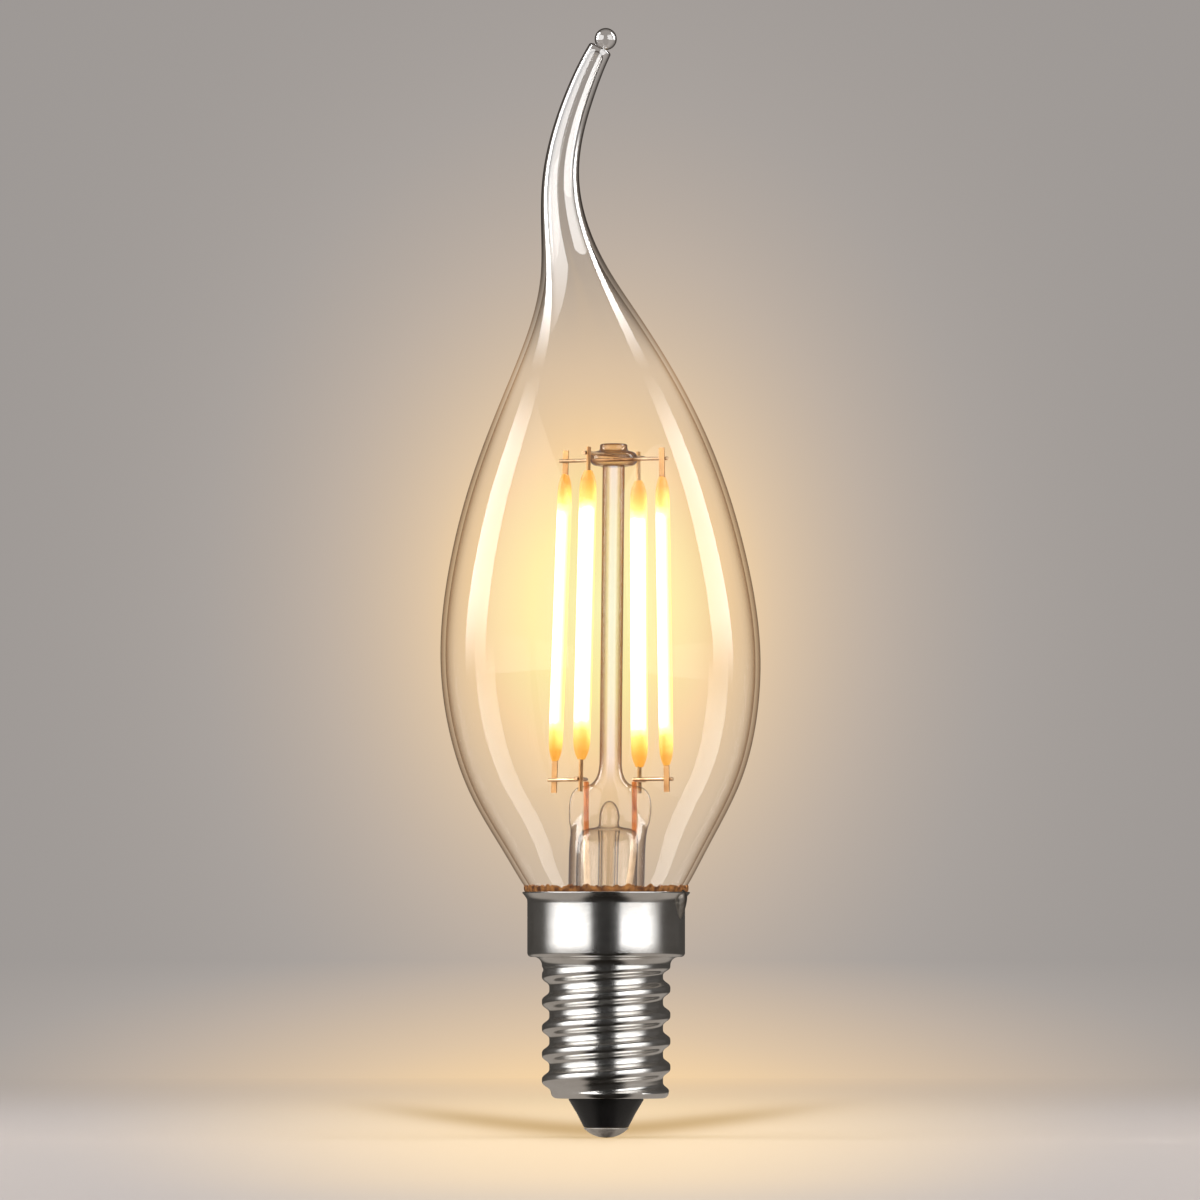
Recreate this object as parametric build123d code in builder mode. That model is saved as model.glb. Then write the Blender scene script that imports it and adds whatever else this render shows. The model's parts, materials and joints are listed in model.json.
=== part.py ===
from build123d import *
from math import cos, pi, radians, sin
import os

os.makedirs("parts", exist_ok=True)

# A clear candle bulb: LED filaments on a glass stem, a flame-shaped envelope with a bent tail, a small
# screw cap and the driver inside it. Millimetres. The origin is the tip of the centre contact,
# +Z runs up the cap's axis, +X is to the right and the front faces -Y.

# Play
FIT = 0.02  # between pieces that are crimped, welded or soldered together

# Centre contact
CONTACT_D = 4.8
CONTACT_RISE = 1.1
SHANK_D = 2.0
SHANK_PROUD = 0.3  # rivet end above the insulator
SHANK_FLOOR = 1.4  # metal left below the wire's hole

# Insulator
INSULATOR_TIP_D = 4.9
INSULATOR_TOP_D = 8.1
INSULATOR_DROP = 3.15  # cone below the shell
INSULATOR_NECK_D = 7.0  # where it passes through the shell's floor
FLANGE_CLEAR = 0.4  # round the flange inside the shell
FLANGE_THICK = 1.2

# Cap shell
SHEET = 0.3
THREAD_MAJOR_D = 13.89
THREAD_MINOR_D = 12.29
THREAD_PITCH = 2.822
THREAD_LENGTH = 14.3
THREAD_START = -66.0  # degrees, where the crest stands at the shell's floor
THREAD_RUN_IN = 1.9  # height over which the lowest turn grows
THREAD_RUN_OUT = 1.0  # and over which the last turn fades into the collar
RINGS_A_TURN = 12
BORE_WALL = 0.7  # shell's wall behind the thread's root
FLOOR_ROUND = 0.6
COLLAR_RISE = 0.95  # from the thread's end to the skirt's lower edge
COLLAR_SHARE = 0.95  # of the collar's rise, at most taken by the round under the skirt
SHOULDER_SHARE = 0.6  # of the step from collar to skirt, at most taken by the same round
EDGE_SHARE = 0.28  # and by the round on the skirt's lower edge
SKIRT_D = 17.05
SKIRT_HEIGHT = 6.2
LIP_RISE = 0.67
LIP_FLARE = 0.5

# Glass envelope
GLASS_WALL = 0.55
CEMENT_LINE = 0.42  # cement between the neck and the lip
CEMENT_FOOT = 2.025  # cement between the neck's end and the skirt
NECK_DEPTH = 5.2  # neck below the rim
GLASS_RISE = 91.6  # from the rim to the tail's end
TAIL_SWING = 4.92  # how far the tail bends to the left
BOWL_D = 34.6
TAIL_D = 4.05
# Up the bowl and the tail: height as a share of the rise, place to the left as a share of the swing,
# and diameter as a share of the bowl's or of the tail's
BOWL = [
    (0.046, 0.010, 0.622),
    (0.120, 0.041, 0.835),
    (0.197, 0.077, 0.960),
    (0.280, 0.126, 1.000),
    (0.393, 0.175, 0.928),
    (0.502, 0.228, 0.766),
    (0.590, 0.325, 0.570),
    (0.666, 0.488, 0.369),
]
TAIL = [
    (0.731, 0.711, 1.850),
    (0.786, 0.915, 1.270),
    (0.841, 1.000, 1.000),
    (0.895, 0.864, 0.850),
    (0.950, 0.539, 0.753),
    (1.000, 0.116, 0.642),
]
TAIL_LEAN = 29.0  # degrees to the right at the tail's end
TIP_SEAL = 1.2  # solid glass at the tail's end
TIP_BALL_D = 2.4
TIP_BALL_SINK = 0.12  # of the ball sunk into the tail's end

# Basing cement
CEMENT_DEPTH = 5.0
CEMENT_PROUD = 0.7

# Stem
STEM_TUBE_D = 8.2
STEM_WALL = 0.8
FLARE_RISE = 2.2  # height of the flared foot
FLARE_CLEAR = 0.15  # flare inside the neck
PRESS_FOOT = 10.8  # height of the straight tube's end above the neck's end
STEM_DRIFT = 0.45  # press and rod stand this far to the right of the cap's axis
PRESS_RISE = 6.4
# Up the press: height as a share of its rise, half width and half depth as shares of the tube's radius
PRESS = [
    (0.30, 1.00, 0.56),
    (0.53, 0.94, 0.43),
    (0.75, 0.78, 0.40),
    (0.875, 0.54, 0.35),
]
LOBE_D = 2.4
LOBE_LENGTH = 5.2
LOBE_RISE = 3.3  # lobe's middle above the tube's end
LOBE_STEP = 0.45  # lobes stand this far outside the leads
CAVITY_RISE = 1.2  # hollow of the tube above the tube's end
CAVITY_HALF_WIDTH = 3.15
CAVITY_HALF_DEPTH = 1.5
EXHAUST_D = 2.6
EXHAUST_BORE_D = 1.7
EXHAUST_REACH = 1.9  # sealed end below the neck's end
EXHAUST_END = 1.0
PORT_RISE = 3.6  # port's middle above the tube's end

# Support rod and bead
ROD_D = 2.4
ROD_LEAN = 0.6  # degrees to the right
BEAD_D = 5.1
BEAD_THICK = 2.0
BEAD_ROUND = 0.8
BUTTON_D = 2.9
BUTTON_RISE = 0.5

# Wires
WIRE_D = 0.4
LEAD_SPREAD = 2.6  # leads from the stem's middle in the press
LEAD_SPREAD_BELOW = 1.9  # and in the cap
LEAD_PROUD = 0.3  # from the press's top to the foot wires
WIRE_OVERHANG = 0.6  # past a tab
TOP_WIRE_STEP = 0.5  # height between the two crossing wires
SIDE_WIRE_D = 0.22
SIDE_ANGLE = -20.0  # degrees, where the side wire leaves the rim

# Filaments
RING_TOP_R = 6.1  # they stand on a ring that is wider at the foot
RING_FOOT_R = 7.1
RING_TURN = 29.0  # degrees, how far the ring is turned from the cap's own axes
COAT_WIDTH = 1.36
COAT_DEPTH = 1.96
COAT_LENGTH = 31.2
# Rounded end: way in from the end as a share of the coating's depth, and share of the full section
COAT_END = [(0, 0.50), (0.15, 0.72), (0.45, 0.89), (1.0, 1.0)]
TAB_WIDTH = 0.65
TAB_THICK = 0.16
TAB_GRIP = 1.5  # tab inside the coating
TAB_FOOT = 1.4  # tab below the foot wire
TAB_HEAD = 0.9  # tab above the top wire
FOOT_GAP = 1.45  # from the foot wire to the coating
HEAD_GAP = 1.6  # from the left pair's coating to the top wires
LEFT_LIFT = 0.6  # the left pair is welded on this much higher

# Driver in the cap
BOARD_WIDTH = 8.4
BOARD_THICK = 0.8
BOARD_SEAT = 0.1  # above the rivet end
BOARD_CLEAR = 0.7  # below the exhaust tube
PAD_LAP = 2.0  # wire soldered along the board
CAPACITOR_D = 3.6
CAPACITOR_LENGTH = 7.0
RESISTOR_D = 1.9
RESISTOR_LENGTH = 4.4
RESISTOR_X = 2.7
RESISTOR_HEIGHT = 3.0  # foot of its body above the board's lower edge
CAPACITOR_X = -1.0
CAPACITOR_HEIGHT = 2.5
RECTIFIER = (3.8, 2.0, 4.0)  # width, depth and length
RECTIFIER_HEIGHT = 4.6  # its middle above the board's lower edge
CHIP = (1.6, 1.1, 2.9)
CHIP_HEIGHT = 8.4
LEG = (0.5, 0.25, 0.4)  # reach, thickness and width of a chip's leg

# Solder drop over the rim
SOLDER_D = 2.2
SOLDER_DROP = 3.4  # its point below the rim
SOLDER_RISE = 0.65  # its top above the rim
SOLDER_INSET = 0.4  # its middle inside the skirt's face

# Heights up the cap's axis
z_insulator = CONTACT_RISE
z_floor = z_insulator + INSULATOR_DROP
z_flange = z_floor + SHEET + FIT
z_shank = z_flange + FLANGE_THICK + SHANK_PROUD
z_thread_end = z_floor + THREAD_LENGTH
z_skirt = z_thread_end + COLLAR_RISE
z_lip = z_skirt + SKIRT_HEIGHT
z_rim = z_lip + LIP_RISE
z_neck = z_rim - NECK_DEPTH
z_press = z_neck + PRESS_FOOT
z_ceiling = z_press + CAVITY_RISE
z_rod = z_press + PRESS_RISE
z_foot_wire = z_rod + LEAD_PROUD
z_top_wire = z_foot_wire + FOOT_GAP + LEFT_LIFT + COAT_LENGTH + HEAD_GAP
z_exhaust = z_neck - EXHAUST_REACH
z_board = z_shank + BOARD_SEAT
z_board_top = z_exhaust - BOARD_CLEAR

# Radii and places that several pieces share
skirt_r = SKIRT_D / 2
skirt_inside_r = skirt_r - SHEET
lip_inside_r = skirt_inside_r + LIP_FLARE
collar_r = THREAD_MAJOR_D / 2
bore_r = THREAD_MINOR_D / 2 - BORE_WALL
flange_r = bore_r - FLANGE_CLEAR
wire_r = WIRE_D / 2
tab_offset = wire_r + TAB_THICK / 2 + FIT
board_front = wire_r + FIT
board_back = board_front + BOARD_THICK
rod_plane = Plane(
    origin=(STEM_DRIFT, 0, z_rod),
    x_dir=(cos(radians(ROD_LEAN)), 0, -sin(radians(ROD_LEAN))),
    z_dir=(sin(radians(ROD_LEAN)), 0, cos(radians(ROD_LEAN))),
)
rod_length = z_top_wire - BEAD_THICK / 2 - z_rod
bead_plane = rod_plane.offset(rod_length)
wire_plane = bead_plane.offset(BEAD_THICK / 2)


def finish(builder, name):
    """Labels a finished piece and writes its file."""
    builder.part.label = name
    export_step(builder.part, f"parts/{name}.step")


def polar(radius, degrees, height, middle_x=0.0):
    """A point at a radius and angle round an upright axis."""
    return (middle_x + radius * cos(radians(degrees)), radius * sin(radians(degrees)), height)


def wire_along(points, diameter):
    """A round wire of straight runs."""
    with BuildPart() as wire:
        with BuildLine() as route:
            Polyline(*points)
        with BuildSketch(Plane(origin=route.line @ 0, z_dir=route.line % 0)):
            Circle(diameter / 2)
        sweep(transition=Transition.RIGHT)
    return wire


# Glass envelope: round sections across a bent middle line, each with its height, drift and radius

neck_rim_r = lip_inside_r - CEMENT_LINE
neck_end_r = skirt_inside_r - CEMENT_FOOT
neck_inside_r = neck_end_r - GLASS_WALL
glass_stations = [
    (z_neck, 0, neck_end_r),
    (z_rim - NECK_DEPTH / 2, 0, (3 * neck_end_r + neck_rim_r) / 4),
    (z_rim, 0, neck_rim_r),
]
for shares, full_d in ((BOWL, BOWL_D), (TAIL, TAIL_D)):
    for up, left, wide in shares:
        glass_stations.append((z_rim + up * GLASS_RISE, -left * TAIL_SWING, wide * full_d / 2))
with BuildLine() as glass_spine:
    Spline(
        *[(drift, 0, height) for height, drift, radius in glass_stations],
        tangents=[(0, 0, 1), (sin(radians(TAIL_LEAN)), 0, cos(radians(TAIL_LEAN)))],
    )


def glass_plane(station):
    """The plane across the glass's middle line at a station."""
    height, drift, radius = station
    along = glass_spine.edge().param_at_point((drift, 0, height))
    return Plane(origin=(drift, 0, height), x_dir=(0, 1, 0), z_dir=glass_spine.edge() % along)


tail_end = glass_plane(glass_stations[-1])
tail_end_r = glass_stations[-1][2]
with BuildPart() as glass_outside:
    for station in glass_stations:
        with BuildSketch(glass_plane(station)):
            Circle(station[2])
    loft()

with BuildPart() as glass_envelope:
    add(glass_outside.part)
    for station in glass_stations[:-1]:
        with BuildSketch(glass_plane(station)):
            Circle(station[2] - GLASS_WALL)
    with BuildSketch(tail_end.offset(-TIP_SEAL)):
        Circle(tail_end_r - GLASS_WALL)
    loft(mode=Mode.SUBTRACT)
    with BuildSketch(Plane(origin=tail_end.origin, x_dir=tail_end.z_dir, z_dir=(0, -1, 0))):
        with Locations((TIP_BALL_D / 2 - TIP_BALL_SINK, 0)):
            Circle(TIP_BALL_D / 2)
            Rectangle(TIP_BALL_D, TIP_BALL_D, align=(Align.CENTER, Align.MIN), mode=Mode.INTERSECT)
    revolve(axis=Axis(tail_end.origin, tail_end.z_dir))
finish(glass_envelope, "glass_envelope")


# Cap shell: the rolled thread is a stack of level rings whose middle walks round the axis once a pitch


def thread_ring(height):
    """Middle and radius of the thread's ring at a height."""
    mean_r = (THREAD_MAJOR_D + THREAD_MINOR_D) / 4
    throw = (THREAD_MAJOR_D - THREAD_MINOR_D) / 4
    turn = radians(THREAD_START) + 2 * pi * (height - z_floor) / THREAD_PITCH
    missing = 1 - min(1, (height - z_floor) / THREAD_RUN_IN)
    fading = 1 - min(1, (z_thread_end - height) / THREAD_RUN_OUT)
    runout = fading**2 * (3 - 2 * fading)
    reach = throw * (1 - runout)
    return (reach * cos(turn), reach * sin(turn)), mean_r + throw * (runout - missing**2)


def skirt_outline():
    """The outer line of collar, shoulder, skirt and lip."""
    step = skirt_r - collar_r
    shoulder = min(SHOULDER_SHARE * step, COLLAR_SHARE * COLLAR_RISE)
    return FilletPolyline(
        (collar_r, z_thread_end),
        (collar_r, z_skirt),
        (skirt_r, z_skirt),
        (skirt_r, z_lip),
        (skirt_r + LIP_FLARE, z_rim),
        radius=[shoulder, EDGE_SHARE * step, EDGE_SHARE * step],
    )


with BuildPart() as cap_skirt:
    with BuildSketch(Plane.XZ):
        with BuildLine():
            skirt_outline()
            offset(amount=SHEET, side=Side.LEFT)
        make_face()
    revolve(axis=Axis.Z)

z_lowest = z_floor + FLOOR_ROUND
lowest_middle, lowest_r = thread_ring(z_lowest)
ring_count = round((z_thread_end - z_lowest) / THREAD_PITCH * RINGS_A_TURN)
with BuildPart() as cap_shell:
    for ring in range(ring_count + 1):
        height = z_lowest + (z_thread_end - z_lowest) * ring / ring_count
        middle, radius = thread_ring(height)
        with BuildSketch(Plane((*middle, height))):
            Circle(radius)
    loft(ruled=True)
    with BuildSketch(Plane(origin=(*lowest_middle, 0), x_dir=(1, 0, 0), z_dir=(0, -1, 0))):
        with BuildLine():
            corner = TangentArc((lowest_r - FLOOR_ROUND, z_floor), (lowest_r, z_lowest), tangent=(1, 0))
            Polyline(corner @ 1, (0, z_lowest), (0, z_floor), corner @ 0)
        make_face()
    revolve(axis=Axis((*lowest_middle, 0), (0, 0, 1)))
    with BuildSketch(Plane.XY.offset(z_floor + SHEET)):
        Circle(bore_r)
    extrude(amount=z_thread_end - z_floor - SHEET, mode=Mode.SUBTRACT)
    with BuildSketch(Plane.XY.offset(z_floor)):
        Circle(INSULATOR_NECK_D / 2 + FIT)
    extrude(amount=SHEET, mode=Mode.SUBTRACT)
    add(cap_skirt.part)
finish(cap_shell, "cap_shell")


# Insulator and centre contact

with BuildPart() as insulator:
    with BuildSketch(Plane.XZ):
        with BuildLine():
            Polyline(
                (SHANK_D / 2 + FIT, z_insulator + FIT),
                (INSULATOR_TIP_D / 2, z_insulator + FIT),
                (INSULATOR_TOP_D / 2, z_floor - FIT),
                (INSULATOR_NECK_D / 2, z_floor - FIT),
                (INSULATOR_NECK_D / 2, z_flange),
                (flange_r, z_flange),
                (flange_r, z_flange + FLANGE_THICK),
                (SHANK_D / 2 + FIT, z_flange + FLANGE_THICK),
                close=True,
            )
        make_face()
    revolve(axis=Axis.Z)
finish(insulator, "insulator")

with BuildPart() as centre_contact:
    with BuildSketch(Plane.XZ):
        with BuildLine():
            dome = TangentArc((0, 0), (CONTACT_D / 2, CONTACT_RISE), tangent=(1, 0))
            Polyline(
                dome @ 1,
                (SHANK_D / 2, CONTACT_RISE),
                (SHANK_D / 2, z_shank),
                (wire_r + FIT, z_shank),
                (wire_r + FIT, SHANK_FLOOR),
                (0, SHANK_FLOOR),
                (0, 0),
            )
        make_face()
    revolve(axis=Axis.Z)
finish(centre_contact, "centre_contact")


# Lead wires, from the driver board up the stem's tube and through the press


def lead(side):
    """The lead on one side, -1 for the left."""
    in_cap = side * LEAD_SPREAD_BELOW
    in_press = STEM_DRIFT + side * LEAD_SPREAD
    points = [
        (in_cap, 0, z_board_top - PAD_LAP),
        (in_cap, 0, z_neck + FLARE_RISE),
        (in_press, 0, z_press),
        (in_press, 0, z_foot_wire - wire_r - FIT),
    ]
    return wire_along(points, WIRE_D)


left_lead_wire = lead(-1)
finish(left_lead_wire, "left_lead_wire")
right_lead_wire = lead(1)
finish(right_lead_wire, "right_lead_wire")


# Stem: flared foot, tube, flattened press and the two drops of glass round the leads

tube_r = STEM_TUBE_D / 2
tube_inside_r = tube_r - STEM_WALL
flare_r = neck_inside_r - FLARE_CLEAR
with BuildPart() as stem:
    with BuildSketch(Plane.XZ):
        with BuildLine():
            outside = TangentArc((tube_r, z_neck + FLARE_RISE), (flare_r, z_neck), tangent=(0, -1))
            inside_foot = (flare_r - STEM_WALL, z_neck - STEM_WALL)
            inside = TangentArc((tube_inside_r, z_neck + FLARE_RISE), inside_foot, tangent=(0, -1))
            Polyline(
                outside @ 1,
                (neck_end_r, z_neck),
                (neck_end_r, z_neck - STEM_WALL),
                inside @ 1,
            )
            Polyline(inside @ 0, (tube_inside_r, z_press), (tube_r, z_press), outside @ 0)
        make_face()
    revolve(axis=Axis.Z)
    with BuildSketch(Plane.XY.offset(z_press)):
        Circle(tube_r)
    for up, half_width, half_depth in PRESS:
        drift = STEM_DRIFT * min(1, up / PRESS[1][0])
        with BuildSketch(Plane((drift, 0, z_press + up * PRESS_RISE))):
            Ellipse(half_width * tube_r, half_depth * tube_r)
    with BuildSketch(rod_plane):
        Circle(ROD_D / 2)
    loft()
    for side in (-1, 1):
        lobe_x = STEM_DRIFT + side * (LEAD_SPREAD + LOBE_STEP)
        lobe_z = z_press + LOBE_RISE
        with BuildSketch(Plane.XZ):
            with BuildLine():
                flank = ThreePointArc(
                    (lobe_x, lobe_z - LOBE_LENGTH / 2),
                    (lobe_x + LOBE_D / 2, lobe_z),
                    (lobe_x, lobe_z + LOBE_LENGTH / 2),
                )
                Line(flank @ 1, flank @ 0)
            make_face()
        revolve(axis=Axis((lobe_x, 0, 0), (0, 0, 1)))
    with BuildSketch(Plane.XY.offset(z_press)):
        Circle(tube_inside_r)
    with BuildSketch(Plane((STEM_DRIFT / 2, 0, z_ceiling))):
        Ellipse(CAVITY_HALF_WIDTH, CAVITY_HALF_DEPTH)
    loft(ruled=True, mode=Mode.SUBTRACT)
    with BuildSketch(Plane.XY.offset(z_ceiling)):
        Circle(EXHAUST_BORE_D / 2)
    extrude(amount=PORT_RISE - CAVITY_RISE, mode=Mode.SUBTRACT)
    with BuildSketch(Plane.XZ):
        with Locations((0, z_press + PORT_RISE)):
            Circle(EXHAUST_BORE_D / 2)
    extrude(amount=tube_r, mode=Mode.SUBTRACT)
    add(left_lead_wire.part, mode=Mode.SUBTRACT)
    add(right_lead_wire.part, mode=Mode.SUBTRACT)
finish(stem, "stem")

with BuildPart() as exhaust_tube:
    with BuildSketch(Plane.XY.offset(z_exhaust)):
        Circle(EXHAUST_D / 2)
    extrude(amount=z_ceiling - z_exhaust)
    chamfer(exhaust_tube.faces().sort_by(Axis.Z)[0].edges(), length=EXHAUST_D / 4)
    with BuildSketch(Plane.XY.offset(z_exhaust + EXHAUST_END)):
        Circle(EXHAUST_BORE_D / 2)
    extrude(amount=z_ceiling - z_exhaust - EXHAUST_END, mode=Mode.SUBTRACT)
finish(exhaust_tube, "exhaust_tube")


# Support rod, and the two crossing wires in the bead at its top

with BuildPart() as support_rod:
    with BuildSketch(rod_plane):
        Circle(ROD_D / 2)
    extrude(amount=rod_length)
finish(support_rod, "support_rod")


def top_wire(degrees, step):
    """A straight wire through the bead, from one filament to the one across from it."""
    reach = RING_TOP_R + WIRE_OVERHANG
    with BuildPart() as wire:
        level = wire_plane.offset(step)
        along = Vector(cos(radians(degrees)), sin(radians(degrees)), 0)
        with BuildSketch(Plane(origin=level.origin, z_dir=along)):
            Circle(wire_r)
        extrude(amount=reach, both=True)
    return wire


outer_top_wire = top_wire(-RING_TURN, -TOP_WIRE_STEP / 2)
finish(outer_top_wire, "outer_top_wire")
inner_top_wire = top_wire(90 - RING_TURN, TOP_WIRE_STEP / 2)
finish(inner_top_wire, "inner_top_wire")

with BuildPart() as support_bead:
    with BuildSketch(bead_plane):
        Circle(BEAD_D / 2)
    extrude(amount=BEAD_THICK)
    fillet(support_bead.edges().filter_by(GeomType.CIRCLE), radius=BEAD_ROUND)
    with BuildSketch(bead_plane.offset(BEAD_THICK)):
        Circle(BUTTON_D / 2)
    extrude(amount=BUTTON_RISE)
    fillet(support_bead.faces().sort_by(Axis.Z)[-1].edges(), radius=BUTTON_RISE / 2)
    add(outer_top_wire.part, mode=Mode.SUBTRACT)
    add(inner_top_wire.part, mode=Mode.SUBTRACT)
finish(support_bead, "support_bead")


# Foot wires: each is bent round the top of a lead and carries the lower tabs of two filaments


def foot_wire(side, back_degrees, front_degrees):
    """The bent wire on one lead, between the two filaments at these angles."""
    far = RING_FOOT_R + WIRE_OVERHANG
    near = RING_FOOT_R - WIRE_OVERHANG
    points = [
        polar(far, back_degrees, z_foot_wire, STEM_DRIFT),
        polar(near, back_degrees, z_foot_wire, STEM_DRIFT),
        (STEM_DRIFT + side * LEAD_SPREAD, 0, z_foot_wire),
        polar(near, front_degrees, z_foot_wire, STEM_DRIFT),
        polar(far, front_degrees, z_foot_wire, STEM_DRIFT),
    ]
    return wire_along(points, WIRE_D)


left_foot_wire = foot_wire(-1, 180 - RING_TURN, 270 - RING_TURN)
finish(left_foot_wire, "left_foot_wire")
right_foot_wire = foot_wire(1, 90 - RING_TURN, -RING_TURN)
finish(right_foot_wire, "right_foot_wire")


# Filaments: phosphor coating, carrier strip and a tab at each end


def filament(name, degrees, side, lift):
    """One filament on the ring, welded to the wires' side that the sign gives."""
    outwards = Vector(cos(radians(degrees)), sin(radians(degrees)), 0)
    across = Vector(-outwards.Y, outwards.X, 0) * side * tab_offset
    foot = Vector(STEM_DRIFT, 0, z_foot_wire) + outwards * RING_FOOT_R + across
    head = wire_plane.origin + outwards * RING_TOP_R + across
    axis_plane = Plane(origin=foot, x_dir=outwards, z_dir=head - foot)
    span = (head - foot).length
    coat_foot = FOOT_GAP + lift
    coat_head = coat_foot + COAT_LENGTH
    coat_line = [(coat_foot + way * COAT_DEPTH, share) for way, share in COAT_END]
    coat_line += [(coat_head - way * COAT_DEPTH, share) for way, share in reversed(COAT_END)]
    with BuildPart() as coating:
        for height, share in coat_line:
            with BuildSketch(axis_plane.offset(height)):
                Ellipse(share * COAT_WIDTH / 2, share * COAT_DEPTH / 2)
        loft(ruled=True)
        with BuildSketch(axis_plane.offset(coat_foot)):
            Rectangle(TAB_WIDTH, TAB_THICK)
        extrude(amount=COAT_LENGTH, mode=Mode.SUBTRACT)
    finish(coating, f"{name}_coating")
    strips = {
        "bottom_tab": (-TAB_FOOT, coat_foot + TAB_GRIP),
        "strip": (coat_foot + TAB_GRIP, coat_head - TAB_GRIP),
        "top_tab": (coat_head - TAB_GRIP, span + TAB_HEAD),
    }
    for kind, (low, high) in strips.items():
        with BuildPart() as strip:
            with BuildSketch(axis_plane.offset(low)):
                Rectangle(TAB_WIDTH, TAB_THICK)
            extrude(amount=high - low)
        finish(strip, f"{name}_{kind}")


filament("back_left_filament", 180 - RING_TURN, -1, LEFT_LIFT)
filament("front_left_filament", 270 - RING_TURN, 1, LEFT_LIFT)
filament("front_right_filament", -RING_TURN, -1, 0)
filament("back_right_filament", 90 - RING_TURN, 1, 0)


# Driver board and what is soldered to it

with BuildPart() as driver_board:
    with BuildSketch(Plane.XZ.offset(-board_front)):
        with Locations((0, z_board)):
            Rectangle(BOARD_WIDTH, z_board_top - z_board, align=(Align.CENTER, Align.MIN))
    extrude(amount=-BOARD_THICK)
    chamfer(driver_board.edges().filter_by(Axis.Y), length=BOARD_THICK / 2)
finish(driver_board, "driver_board")


def surface_chip(size, legs, height):
    """A moulded chip on the board's front with legs down both sides."""
    width, depth, length = size
    reach, thick, broad = LEG
    front = Plane.XZ.offset(-board_front + FIT)
    with BuildPart() as chip:
        with BuildSketch(front):
            with Locations((0, height)):
                Rectangle(width, length)
        extrude(amount=depth, taper=8)
        with BuildSketch(front):
            for side in (-1, 1):
                with Locations((side * width / 2, height)):
                    with GridLocations(0, length / legs, 1, legs):
                        Rectangle(2 * reach, broad)
        extrude(amount=thick)
    return chip


rectifier = surface_chip(RECTIFIER, 2, z_board + RECTIFIER_HEIGHT)
finish(rectifier, "bridge_rectifier")
driver_chip = surface_chip(CHIP, 2, z_board + CHIP_HEIGHT)
finish(driver_chip, "driver_chip")

with BuildPart() as smoothing_capacitor:
    can_middle = (CAPACITOR_X, board_back + FIT + CAPACITOR_D / 2, z_board + CAPACITOR_HEIGHT)
    with BuildSketch(Plane(can_middle)):
        Circle(CAPACITOR_D / 2)
    extrude(amount=CAPACITOR_LENGTH)
    chamfer(smoothing_capacitor.edges().filter_by(GeomType.CIRCLE), length=CAPACITOR_D / 12)
finish(smoothing_capacitor, "smoothing_capacitor")

with BuildPart() as fuse_resistor:
    body_y = board_back + FIT + RESISTOR_D / 2
    body_foot = z_board + RESISTOR_HEIGHT
    with BuildSketch(Plane((RESISTOR_X, body_y, body_foot))):
        Circle(RESISTOR_D / 2)
    extrude(amount=RESISTOR_LENGTH)
    chamfer(fuse_resistor.edges().filter_by(GeomType.CIRCLE), length=RESISTOR_D / 6)
    with BuildLine() as legs:
        Polyline(
            (RESISTOR_X, board_back + FIT, body_foot - RESISTOR_D / 2),
            (RESISTOR_X, body_y, body_foot - RESISTOR_D / 2),
            (RESISTOR_X, body_y, body_foot + RESISTOR_LENGTH + RESISTOR_D / 2),
            (RESISTOR_X, board_back + FIT, body_foot + RESISTOR_LENGTH + RESISTOR_D / 2),
        )
    with BuildSketch(Plane(origin=legs.line @ 0, z_dir=legs.line % 0)):
        Circle(wire_r)
    sweep(transition=Transition.RIGHT)
finish(fuse_resistor, "fuse_resistor")

with BuildPart() as contact_wire:
    with BuildSketch(Plane.XY.offset(SHANK_FLOOR + FIT)):
        Circle(wire_r)
    extrude(amount=z_board + PAD_LAP - SHANK_FLOOR)
finish(contact_wire, "contact_wire")


# Side wire: from the board up between the neck and the skirt and over the rim

side_wire_x = BOARD_WIDTH / 2 - 2 * WIRE_D
side_wire_y = board_front - FIT - SIDE_WIRE_D / 2
side_wire_r = neck_end_r + GLASS_WALL
z_over_lip = z_rim + 1.6 * SIDE_WIRE_D
side_wire = wire_along(
    [
        (side_wire_x, side_wire_y, z_board_top - PAD_LAP),
        (side_wire_x, side_wire_y, z_board_top + WIRE_D),
        polar(side_wire_r, SIDE_ANGLE, z_neck - STEM_WALL),
        polar(side_wire_r, SIDE_ANGLE, z_neck + STEM_WALL),
        polar(skirt_inside_r - 0.75 * SIDE_WIRE_D, SIDE_ANGLE, z_lip),
        polar(lip_inside_r, SIDE_ANGLE, z_over_lip),
        polar(skirt_r + 0.6 * LIP_FLARE, SIDE_ANGLE, z_over_lip),
    ],
    SIDE_WIRE_D,
)
finish(side_wire, "side_wire")


# Basing cement between the neck and the skirt, squeezed out over the rim

with BuildPart() as basing_cement:
    sheet_middle_r = skirt_inside_r + SHEET / 2
    with BuildSketch(Plane.XZ):
        with BuildLine():
            Polyline(
                (neck_inside_r, z_rim - CEMENT_DEPTH),
                (sheet_middle_r, z_rim - CEMENT_DEPTH),
                (sheet_middle_r, z_lip),
                (sheet_middle_r + LIP_FLARE, z_rim),
                (sheet_middle_r + LIP_FLARE, z_rim + CEMENT_PROUD / 2),
                (sheet_middle_r + LIP_FLARE / 2, z_rim + CEMENT_PROUD),
                (neck_inside_r, z_rim + CEMENT_PROUD),
                close=True,
            )
        make_face()
    revolve(axis=Axis.Z)
    add(glass_outside.part, mode=Mode.SUBTRACT)
    add(cap_skirt.part, mode=Mode.SUBTRACT)
    add(side_wire.part, mode=Mode.SUBTRACT)
finish(basing_cement, "basing_cement")

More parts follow.
